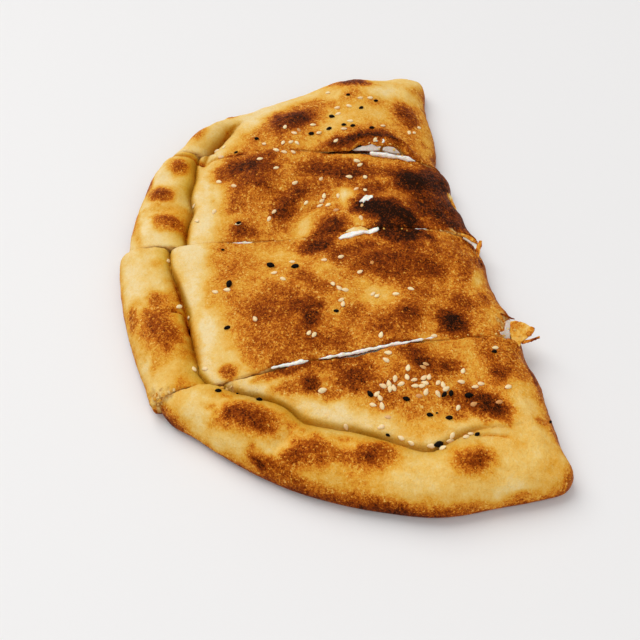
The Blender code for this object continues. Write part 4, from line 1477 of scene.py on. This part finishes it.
def baked_tone(points, plan, marks):
    """How far each point has baked, from 0, raw, to 1, burnt, and how far inside the rim it lies."""
    from_roll = plan.from_rim - plan.widths * plan.reliefs + 4 * MM * lumps(points, 11 * MM, 3)
    inner = rising(from_roll, *INNER_BAND)
    ragged = 1 + layered(points, RAGGED_SPOTS)
    baking = RIM_TONE + INNER_TONE * inner
    # The tone areas set the baking, and on some flanks beside the grooves paint light and shade.
    for spot, tone, strength in marks.areas:
        baking += (tone - baking) * strength * falling(spot.reach(points) * ragged, 0.3, 1.7)
    baking += layered(points, TONE_CLOUDS)
    baking += FOLD_TONE * np.exp(-plan.from_fold / FOLD_TONE_REACH) * (0.4 + 0.6 * inner)
    height = points[:, 2] + MM * layered(points, SIDE_RAGGEDNESS)
    outer = falling(plan.depths, *OUTER_BAND)
    baking += outer * SIDE_TONE * falling(height, *SIDE_BAND)
    baking += outer * np.maximum(FOOT_TONE - baking, 0) * falling(height, *FOOT_BAND)
    for spot, darkness, _ in marks.spots:
        reach = spot.reach(points) * ragged
        baking += np.maximum(darkness * 0.55 - baking, 0) * falling(reach, 0.6, 2.2) * 0.5
        baking += np.maximum(darkness - baking, 0) * falling(reach, 0.25, 1.5)
    for spot, paleness in marks.pale:
        baking -= paleness * falling(spot.reach(points) * ragged, 0.2, 1.4)
    fold_side = bell(plan.from_fold, 6 * MM) * falling(height, 6 * MM, 11 * MM)
    baking -= np.maximum(baking - FOLD_SIDE_TONE, 0) * fold_side
    return baking, inner


class Skin:
    """The surface of one slice while it is shaped and browned."""

    def __init__(self, piece, index, settings, marks):
        self.piece, self.index, self.settings, self.marks = piece, index, settings, marks
        self.points = places(piece)
        self.heights = self.points[:, 2]
        self.facing = normals(piece)
        self.plan = Plan(slide(self.points, index, back=True)[:, :2])
        wander = groove_wander(self.points, index, marks)
        self.top = self.plan.top(slice_puffs(index), wander)
        self.past_roll = self.plan.from_rim - self.plan.widths - wander
        self.sides = [(cut, side, *along_cut(self.points, cut, side)) for cut, side in cut_sides(index)]
        self.from_cut = np.min([depth for _, _, depth, _ in self.sides], axis=0)
        self.cut_face = self.from_cut < CUT_FACE
        self.crumb = self.below_crust()
        self.upper = rising(self.heights, 1.0 * MM, 4 * MM) * ~self.crumb
        self.baking, self.inner = baked_tone(self.points, self.plan, marks)
        self.rise = np.zeros(len(self.points))
        self.drop = np.zeros(len(self.points))
        self.torn = np.zeros(len(self.points))

    def shape(self):
        """Raises the blisters and unevenness, and stores how each place has baked."""
        self.oil_groove()
        self.swell()
        self.tear()
        self.crease()
        self.roughen()
        self.raise_up()
        self.open_cuts()
        self.store_baking()
        self.settle()

    def below_crust(self):
        """Whether each point shows the inside of the dough, on a cut face or under the crust."""
        heights, below, inset = self.heights, self.top - self.heights, self.plan.depths
        near = (below > 1.0 * MM) & (inset > 2 * MM) & (heights > 1.5 * MM)
        deep = (below > 2.6 * MM) & (inset > 5 * MM) & (heights > 2.5 * MM)
        return near & self.cut_face | deep

    def beside_roll(self, outward, inward):
        """1 in the groove, falling off over its two widths towards the roll and the middle."""
        width = np.where(self.past_roll < 0, outward, inward)
        return bell(self.past_roll, width) * self.plan.reliefs

    def oil_groove(self):
        """Finds where the groove is tinted, with oil's olive and painted shade, and where oil has run."""
        self.drop += GROOVE_DROP * self.plan.reliefs * np.exp(
            -(abs(self.past_roll + 0.5 * MM) / (0.75 * MM)) ** 1.5)
        self.groove = self.beside_roll(*GROOVE_WIDTHS) * (0.7 + 0.3 * lumps(self.points, 9 * MM, 26))
        self.oil = self.beside_roll(*OIL_WIDTHS) * (0.85 + 0.35 * lumps(self.points, 11 * MM, 63))
        self.oil *= OIL_SHARES[self.index]
        self.oil = np.maximum(self.oil, ROLL_OIL[self.index] * rising(-self.past_roll, 0, 3 * MM))

    def swell(self):
        """Raises the blisters and swellings."""
        for spot, *_, height in self.marks.spots + self.marks.swellings:
            self.rise += height * MM * spot.mound(self.points)

    def tear(self):
        """Roughens the torn places."""
        rough_crumb = layered(self.points, TORN_CRUMB)
        for spot, rough in self.marks.torn:
            window = spot.mound(self.points, 1.2) * rising(self.heights, 3 * MM, 8 * MM)
            self.torn = np.maximum(self.torn, window)
            self.rise += rough * MM * window * rough_crumb

    def crease(self):
        """Presses in the creases, with painted shade in them as tint and darker baking, and raises the lips.
        """
        shaken = self.points[:, :2] + 0.35 * MM * lumps(self.points, 3 * MM, 15)[:, None]
        for line, depth, width, tint, crease_shade in self.marks.creases:
            cover = line.cover(shaken, width * MM)
            self.drop += depth * MM * cover
            self.groove = np.maximum(self.groove, tint * cover)
            # Darker baking along the crease: painted shade.
            self.baking += crease_shade * cover
        self.groove *= rising(self.heights, 3 * MM, 6 * MM) * ~self.crumb

    def roughen(self):
        """Adds the broad lumps, the ripples and the grain of the skin."""
        broad = self.settings.lump_depth * lumps(self.points, 13 * MM, 10)
        broad += 0.5 * self.settings.ripple_depth * lumps(self.points, 2.4 * MM, 12)
        self.rise += broad * (0.5 + 0.5 * self.inner)
        self.rise += self.settings.ripple_depth * lumps(self.points, 5.5 * MM, 11)
        self.rise += self.settings.grain_depth * lumps(self.points, 1.1 * MM, 13)

    def raise_up(self):
        """Moves the points by all that rises and drops."""
        self.moved = self.points + self.facing * (self.rise * self.upper)[:, None]
        self.moved[:, 2] -= self.drop * self.upper
        rough_face = 0.25 * MM * lumps(self.points, 1.5 * MM, 14) * (self.crumb & self.cut_face)
        self.moved += self.facing * rough_face[:, None]

    def open_cuts(self):
        """Moves the dough beside the cuts towards or away from the other slice, and hollows it out, with
        painted shade under the roofed hollows.
        """
        for cut, side, depth, along in self.sides:
            normal = np.array(cut_plane(cut, side)[1])
            shift = self.gap_shift(cut, side, depth, along)
            for index, reach, roof, darkness, ends in self.marks.hollows:
                if index == self.index and side < 0:
                    window = self.hollow_window(along, along_cut(ends, cut, side)[1], roof)
                    shift -= reach * window * np.clip(1 - depth / (2 * reach), 0, 1)
                    # The hollow's face loses its crumb and is painted dark: painted shade under a roof.
                    inside = window * (depth < HOLLOW_FACE) * (1 if roof else OPEN_HOLLOW_DARK_SHARE)
                    self.crumb = self.crumb * (1 - inside)
                    self.baking = np.maximum(self.baking, darkness * inside)
            self.moved -= side * shift[:, None] * normal

    def gap_shift(self, cut, side, depth, along):
        """How far the dough beside a cut moves away from the slice, unevenly."""
        openings = self.marks.openings[cut]
        wanted = np.interp(along, along_cut(openings, cut, side)[1], openings[:, 2])
        shift = (CUT_GAPS[cut] - wanted) / 2 * bell(depth, CUT_REACH)
        shared = layered(in_plan(self.points), ((0.30, 3.5, 17 + cut), (0.16, 1.4, 27 + cut)))
        own = layered(self.points, ((0.12, 1.6, 37 + side),))
        return shift + (own - side * shared) * MM * bell(depth, RAGGED_REACH)

    def hollow_window(self, along, ends, roof):
        """1 in the part of the slice's edge that is hollowed out, fading out at its ends."""
        start, end = sorted(ends)
        window = rising(along, start, start + HOLLOW_FADE) * falling(along, end - HOLLOW_FADE, end)
        window *= rising(self.heights, 1 * MM, 4 * MM)
        if roof:
            window *= falling(self.heights, self.top - roof - 0.8 * MM, self.top - roof)
        return window * (0.85 + 0.25 * lumps(in_plan(self.points), 3 * MM, 41))

    def store_baking(self):
        """Stores what the crust's finish reads."""
        foot = self.heights < 0.4 * MM
        torn = rising(self.torn, 0.2, 0.5) * rising(lumps(self.points, 1.4 * MM, 62), 0.0, 0.25)
        paint(self.piece, "baking", np.where(foot, UNDERSIDE_TONE, np.clip(self.baking, 0.02, 1.1)))
        paint(self.piece, "crumb", np.maximum(self.crumb, torn))
        # The groove's tint holds painted shade as well as the olive of oil.
        paint(self.piece, "groove", self.groove)
        paint(self.piece, "oil", self.oil * ~foot)

    def settle(self):
        """Rounds the cut edges, moves the outline and keeps the crust under its ceiling."""
        edge = rising(self.heights, self.top - 2 * MM, self.top - 0.5 * MM)
        edge *= np.exp(-self.from_cut / EDGE_REACH)
        self.moved[:, 2] -= edge * MM * (0.35 + 0.35 * lumps(self.points, 1.8 * MM, 16))
        for at, reach, move in self.marks.edge_moves:
            self.moved[:, :2] += bell(np.linalg.norm(self.points[:, :2] - at, axis=1), reach)[:, None] * move
        over = np.maximum(self.moved[:, 2] - CEILING_START, 0)
        self.moved[:, 2] -= over - CEILING_RISE * (1 - np.exp(-over / CEILING_RISE))
        move_to(self.piece, self.moved)


class CALZONE_OT_bake_crust(bpy.types.Operator):
    """Model the four slices of baked crust"""

    bl_idname = "calzone.bake_crust"
    bl_label = "Bake Crust"
    bl_options = STEP_OPTIONS

    def execute(self, context):
        settings = context.scene.calzone_crust
        material = crust_finish(settings)
        marks = BakeMarks()
        for index in range(len(SLICE_MOVES)):
            piece = bake_slice(index, marks, settings, material)
            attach(piece, "root")
            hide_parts(f"crust_{index + 1}")
        return {"FINISHED"}


# Flakes and crumbs


def torn_sheet(name, thickness, corners, spacing, raggedness, material):
    """A thin uneven sheet between corners placed by pixel and height."""
    bpy.ops.object.select_all(action="DESELECT")
    bpy.ops.mesh.primitive_circle_add(vertices=len(corners), radius=1, fill_type="NGON")
    sheet = new_piece(name, material)
    move_to(sheet, [on_plane(across, down, Vector((0, 0, height * MM)), UP)
                    for across, down, height in corners])
    finish_with(sheet, "SOLIDIFY", thickness=thickness * MM, offset=0)
    finish_with(sheet, "REMESH", mode="VOXEL", voxel_size=spacing)
    points = places(sheet)
    uneven = raggedness * 0.5 * layered(points, SHEET_UNEVENNESS)
    moved = points + normals(sheet) * uneven[:, None]
    moved[:, 2] += raggedness * layered(in_plan(points), SHEET_FLUTTER)
    move_to(sheet, moved)
    return sheet


def tear_flake(thickness, tone, corners, settings, material):
    """A thin flake of crust."""
    flake = torn_sheet("flake", thickness, corners, settings.spacing, settings.raggedness, material)
    paint(flake, "baking", tone + layered(places(flake), FLAKE_TONES))
    return flake


def drop_crumb(across, down, radius, draw, material):
    """A small crumb on the bread at a pixel."""
    place, normal = on_bread(across, down)
    bpy.ops.object.select_all(action="DESELECT")
    bpy.ops.mesh.primitive_ico_sphere_add(subdivisions=3, radius=radius * MM)
    crumb = new_piece("crumb", material)
    points = places(crumb) * draw.uniform(*CRUMB_STRETCH, 3)
    points = points @ np.array(Matrix.Rotation(draw.uniform(0, math.pi), 3, draw.normal(0, 1, 3).tolist()))
    points += np.array(place + normal * radius * CRUMB_LIFT * MM)
    uneven = layered(points, ((1.0, 1.1 * radius, 55), (0.7, 0.5 * radius, 56)))
    move_to(crumb, points + normals(crumb) * (CRUMB_ROUGHNESS * radius * MM * uneven)[:, None])
    paint(crumb, "baking", draw.uniform(*CRUMB_TONES))
    return crumb


class CALZONE_OT_tear_flakes(bpy.types.Operator):
    """Model the torn flakes and crumbs of crust"""

    bl_idname = "calzone.tear_flakes"
    bl_label = "Tear Flakes"
    bl_options = STEP_OPTIONS

    def execute(self, context):
        settings = context.scene.calzone_flakes
        material = bpy.data.materials["baked_crust"]
        flakes = [tear_flake(*entry, settings, material) for entry in FLAKES]
        draw = np.random.default_rng(CRUMB_DRAW)
        flakes += [drop_crumb(*entry, draw, material) for entry in CRUMBS]
        flakes = joined(flakes, "crust_flakes")
        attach(flakes, "root")
        return {"FINISHED"}


# Cheese


def melt_layer(number, settings, material):
    """The cheese layer of one slice, over its solid in the frame."""
    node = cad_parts[f"cheese_{number}"]
    piece = bpy.data.objects.new(f"melted_cheese_{number}", node.data.copy())
    bpy.context.scene.collection.objects.link(piece)
    piece.data.materials.clear()
    piece.data.materials.append(material)
    with edit_mode(piece):
        bpy.ops.mesh.select_all(action="SELECT")
        bpy.ops.mesh.remove_doubles(threshold=0.01 * MM)
    finish_with(piece, "REMESH", mode="VOXEL", voxel_size=settings.spacing)
    points = places(piece)
    from_cut = np.min([along_cut(points, *cut)[0] for cut in cut_sides(number - 1)], axis=0)
    bulge = CUT_CHEESE_BULGE + MM * layered(points, CUT_CHEESE_SWELL)
    swell = MM * layered(points, CHEESE_SWELL) + bulge * (from_cut < CUT_CHEESE_BAND)
    move_to(piece, points + normals(piece) * swell[:, None])
    only(piece)
    bpy.ops.object.shade_smooth()
    return piece


def strand_place(across, down, cut, offset):
    """Where a strand's point lies: in a cut's plane, or on the bread."""
    if cut is None:
        return on_bread(across, down)[0] - offset * MM * UP
    place, normal = cut_plane(cut, 0)
    return on_plane(across, down, place - offset * MM * normal, normal)


def pull_strand(cut, offset, way, settings, material):
    """A strand of melted cheese: a path with a thickness of its own at each point, melted into one
    uneven skin."""
    stops = [(strand_place(across, down, cut, offset), radius) for across, down, radius in way]
    bpy.ops.object.select_all(action="DESELECT")
    bpy.ops.curve.primitive_nurbs_path_add()
    strand = bpy.context.object
    strand.name = "cheese_strand"
    spline = strand.data.splines[0]
    spline.points.add(max(0, len(stops) - len(spline.points)))
    spaced = np.linspace(0, len(stops) - 1, len(spline.points))
    for point, at in zip(spline.points, spaced):
        low = min(int(at), len(stops) - 2)
        (place, radius), (next_place, next_radius) = stops[low:low + 2]
        point.co = (*place.lerp(next_place, at - low), 1)
        point.radius = radius + (next_radius - radius) * (at - low)
    spline.order_u = 3
    strand.data.bevel_depth = 1 * MM
    strand.data.bevel_resolution = 4
    strand.data.use_fill_caps = True
    only(strand)
    bpy.ops.object.convert(target="MESH")
    finish_with(strand, "REMESH", mode="VOXEL", voxel_size=settings.strand_spacing)
    points = places(strand)
    uneven = MM * layered(points, STRAND_UNEVENNESS)
    move_to(strand, points + normals(strand) * uneven[:, None])
    finish_with(strand, "SMOOTH", factor=0.5, iterations=1)
    strand.data.materials.clear()
    strand.data.materials.append(material)
    paint(strand, "baked", 0)
    return strand


def spread_sheet(thickness, baked, corners, settings, material):
    """A thin sheet of melted cheese."""
    spacing, raggedness = settings.strand_spacing, CHEESE_SHEET_RAGGEDNESS
    sheet = torn_sheet("cheese_sheet", thickness, corners, spacing, raggedness, material)
    paint(sheet, "baked", baked)
    return sheet


class CALZONE_OT_melt_cheese(bpy.types.Operator):
    """Model the cheese inside the slices and what has run out of them"""

    bl_idname = "calzone.melt_cheese"
    bl_label = "Melt Cheese"
    bl_options = STEP_OPTIONS

    def execute(self, context):
        settings = context.scene.calzone_cheese
        material = cheese_finish(settings)
        for number in range(1, len(SLICE_MOVES) + 1):
            piece = melt_layer(number, settings, material)
            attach(piece, "root")
            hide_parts(f"cheese_{number}")
        strands = [pull_strand(*entry, settings, material) for entry in CHEESE_STRANDS]
        strands += [spread_sheet(*entry, settings, material) for entry in CHEESE_SHEETS]
        strands = joined(strands, "cheese_strands")
        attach(strands, "root")
        return {"FINISHED"}


# Seeds


def model_seed(name, length, width, height, pinch, material):
    """A flat drop-shaped seed, its long axis along X and its pointed end at +X."""
    bpy.ops.object.select_all(action="DESELECT")
    bpy.ops.mesh.primitive_uv_sphere_add(segments=SEED_SEGMENTS, ring_count=SEED_RINGS, radius=0.5,
                                         rotation=(0, math.pi / 2, 0))
    seed = new_piece(name, material)
    bpy.ops.object.transform_apply(location=True, rotation=True, scale=True)
    points = places(seed) * (length, width, height)
    points[:, 1:] *= 1 - pinch * rising(points[:, :1], -0.15 * length, 0.5 * length)
    move_to(seed, points)
    return seed


def lay_seed(model, across, down, angle, scale, sunk, draw):
    """A copy of the seed that lies on the bread at a pixel."""
    place, normal = on_bread(across, down)
    turn = math.radians(angle)
    ahead = on_plane(across + math.cos(turn), down - math.sin(turn), place, normal) - place
    ahead.normalize()
    tilt = Vector(draw.normal(0, SEED_TILT, 3))
    up = (normal + tilt).normalized()
    side = up.cross(ahead).normalized()
    ahead = side.cross(up)
    if draw.random() < 0.5:
        ahead, side = -ahead, -side
    height = max(v.co.z for v in model.data.vertices) * scale
    seed = model.copy()
    seed.data = model.data.copy()
    bpy.context.scene.collection.objects.link(seed)
    axes = Matrix((ahead, side, up)).transposed().to_4x4()
    middle = Matrix.Translation(place + up * height * (SEED_LIFT - sunk))
    seed.matrix_world = middle @ axes @ Matrix.Scale(scale, 4)
    return seed


def scatter(model, name, entries, material):
    """Lays a copy of the model for every entry, as one object."""
    seeds = []
    draw = np.random.default_rng(SEED_DRAW)
    for across, down, angle, scale, toast in entries:
        sunk = TOASTED_SINKING * toast + draw.uniform(0, SEED_SINKING)
        seed = lay_seed(model, across, down, angle, scale * draw.uniform(*SEED_SIZES), sunk, draw)
        paint(seed, "toast", np.clip(toast + draw.normal(0, TOAST_SPREAD), 0, 1))
        seeds.append(seed)
    bpy.data.objects.remove(model)
    seeds = joined(seeds, name)
    bpy.ops.object.transform_apply(location=True, rotation=True, scale=True)
    return seeds


class CALZONE_OT_scatter_sesame(bpy.types.Operator):
    """Lay the sesame seeds on the crust"""

    bl_idname = "calzone.scatter_sesame"
    bl_label = "Scatter Sesame"
    bl_options = STEP_OPTIONS

    def execute(self, context):
        settings = context.scene.calzone_seeds
        material = sesame_finish(settings)
        model = model_seed("sesame", settings.sesame_length, settings.sesame_width,
                           settings.sesame_height, SESAME_PINCH, material)
        entries = [(*entry, *PLAIN_SEED) for entry in SESAME]
        entries += [(*entry, *TOASTED_SEED) for entry in TOASTED_SESAME]
        seeds = scatter(model, "sesame_seeds", entries, material)
        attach(seeds, "root")
        return {"FINISHED"}


class CALZONE_OT_scatter_black_seeds(bpy.types.Operator):
    """Lay the black seeds on the crust"""

    bl_idname = "calzone.scatter_black_seeds"
    bl_label = "Scatter Black Seeds"
    bl_options = STEP_OPTIONS

    def execute(self, context):
        settings = context.scene.calzone_seeds
        material = black_seed_finish(settings)
        length = settings.black_length
        model = model_seed("black_seed", length, length * BLACK_WIDTH_SHARE,
                           length * BLACK_HEIGHT_SHARE, BLACK_PINCH, material)
        points = places(model)
        move_to(model, points * (1 + layered(points, BLACK_SEED_UNEVENNESS))[:, None])
        entries = [(*entry, 0.0) for entry in BLACK_SEEDS]
        seeds = scatter(model, "black_seeds", entries, material)
        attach(seeds, "root")
        return {"FINISHED"}


# Stage


def shine(name, place, strength, spread, colour):
    """A wide, far light that shines from a place onto the bread."""
    bpy.ops.object.light_add(type="SUN", location=place)
    light = bpy.context.object
    light.name = name
    light.rotation_euler = (-light.location).to_track_quat("-Z", "Y").to_euler()
    light.data.energy = strength
    light.data.angle = spread
    light.data.color = colour


class CALZONE_OT_set_stage(bpy.types.Operator):
    """Set the floor, the light and the camera"""

    bl_idname = "calzone.set_stage"
    bl_label = "Set Stage"
    bl_options = STEP_OPTIONS

    def execute(self, context):
        settings = context.scene.calzone_stage
        scene = context.scene
        bpy.ops.object.select_all(action="DESELECT")
        bpy.ops.mesh.primitive_plane_add(size=FLOOR_SIDE, location=(0, 0, -FLOOR_DROP))
        floor = new_piece("floor", floor_finish(settings))
        shine("window", WINDOW_PLACE, settings.window, settings.window_spread, WINDOW_COLOUR)
        shine("fill", FILL_PLACE, settings.fill, settings.fill_spread, FILL_COLOUR)
        world = bpy.data.worlds.new("soft_sky")
        world.use_nodes = True
        sky = world.node_tree.nodes["Background"]
        sky.inputs["Color"].default_value = (1.0, 1.0, 1.0, 1.0)
        sky.inputs["Strength"].default_value = settings.sky
        scene.world = world
        bpy.ops.object.camera_add(location=CAMERA_PLACE, rotation=CAMERA_TURN.to_euler())
        camera = context.object
        camera.name = "photo_camera"
        camera.data.lens = LENS
        camera.data.sensor_width = SENSOR
        camera.data.clip_start = 1 * MM
        scene.camera = camera
        scene.view_settings.view_transform = "Standard"
        return {"FINISHED"}


class CALZONE_PT_panel(bpy.types.Panel):
    """Lists the steps that make the calzone"""

    bl_label = "Calzone"
    bl_idname = "CALZONE_PT_panel"
    bl_space_type = "VIEW_3D"
    bl_region_type = "UI"
    bl_category = "Calzone"

    def draw(self, context):
        for step in STEPS:
            self.layout.operator(step.bl_idname)
        for name in SETTINGS:
            box = self.layout.box()
            for key in getattr(context.scene, name).__annotations__:
                box.prop(getattr(context.scene, name), key)


SETTINGS = {
    "calzone_crust": CrustSettings,
    "calzone_flakes": FlakeSettings,
    "calzone_cheese": CheeseSettings,
    "calzone_seeds": SeedSettings,
    "calzone_stage": StageSettings,
}
STEPS = (
    CALZONE_OT_bake_crust,
    CALZONE_OT_melt_cheese,
    CALZONE_OT_tear_flakes,
    CALZONE_OT_scatter_sesame,
    CALZONE_OT_scatter_black_seeds,
    CALZONE_OT_set_stage,
)
CLASSES = (*SETTINGS.values(), *STEPS, CALZONE_PT_panel)


def register():
    for cls in CLASSES:
        bpy.utils.register_class(cls)
    for name, cls in SETTINGS.items():
        setattr(bpy.types.Scene, name, bpy.props.PointerProperty(type=cls))


def unregister():
    for name in SETTINGS:
        delattr(bpy.types.Scene, name)
    for cls in reversed(CLASSES):
        bpy.utils.unregister_class(cls)


def main():
    register()
    for step in STEPS:
        folder, name = step.bl_idname.split(".")
        getattr(getattr(bpy.ops, folder), name)()


if __name__ == "__main__":
    main()
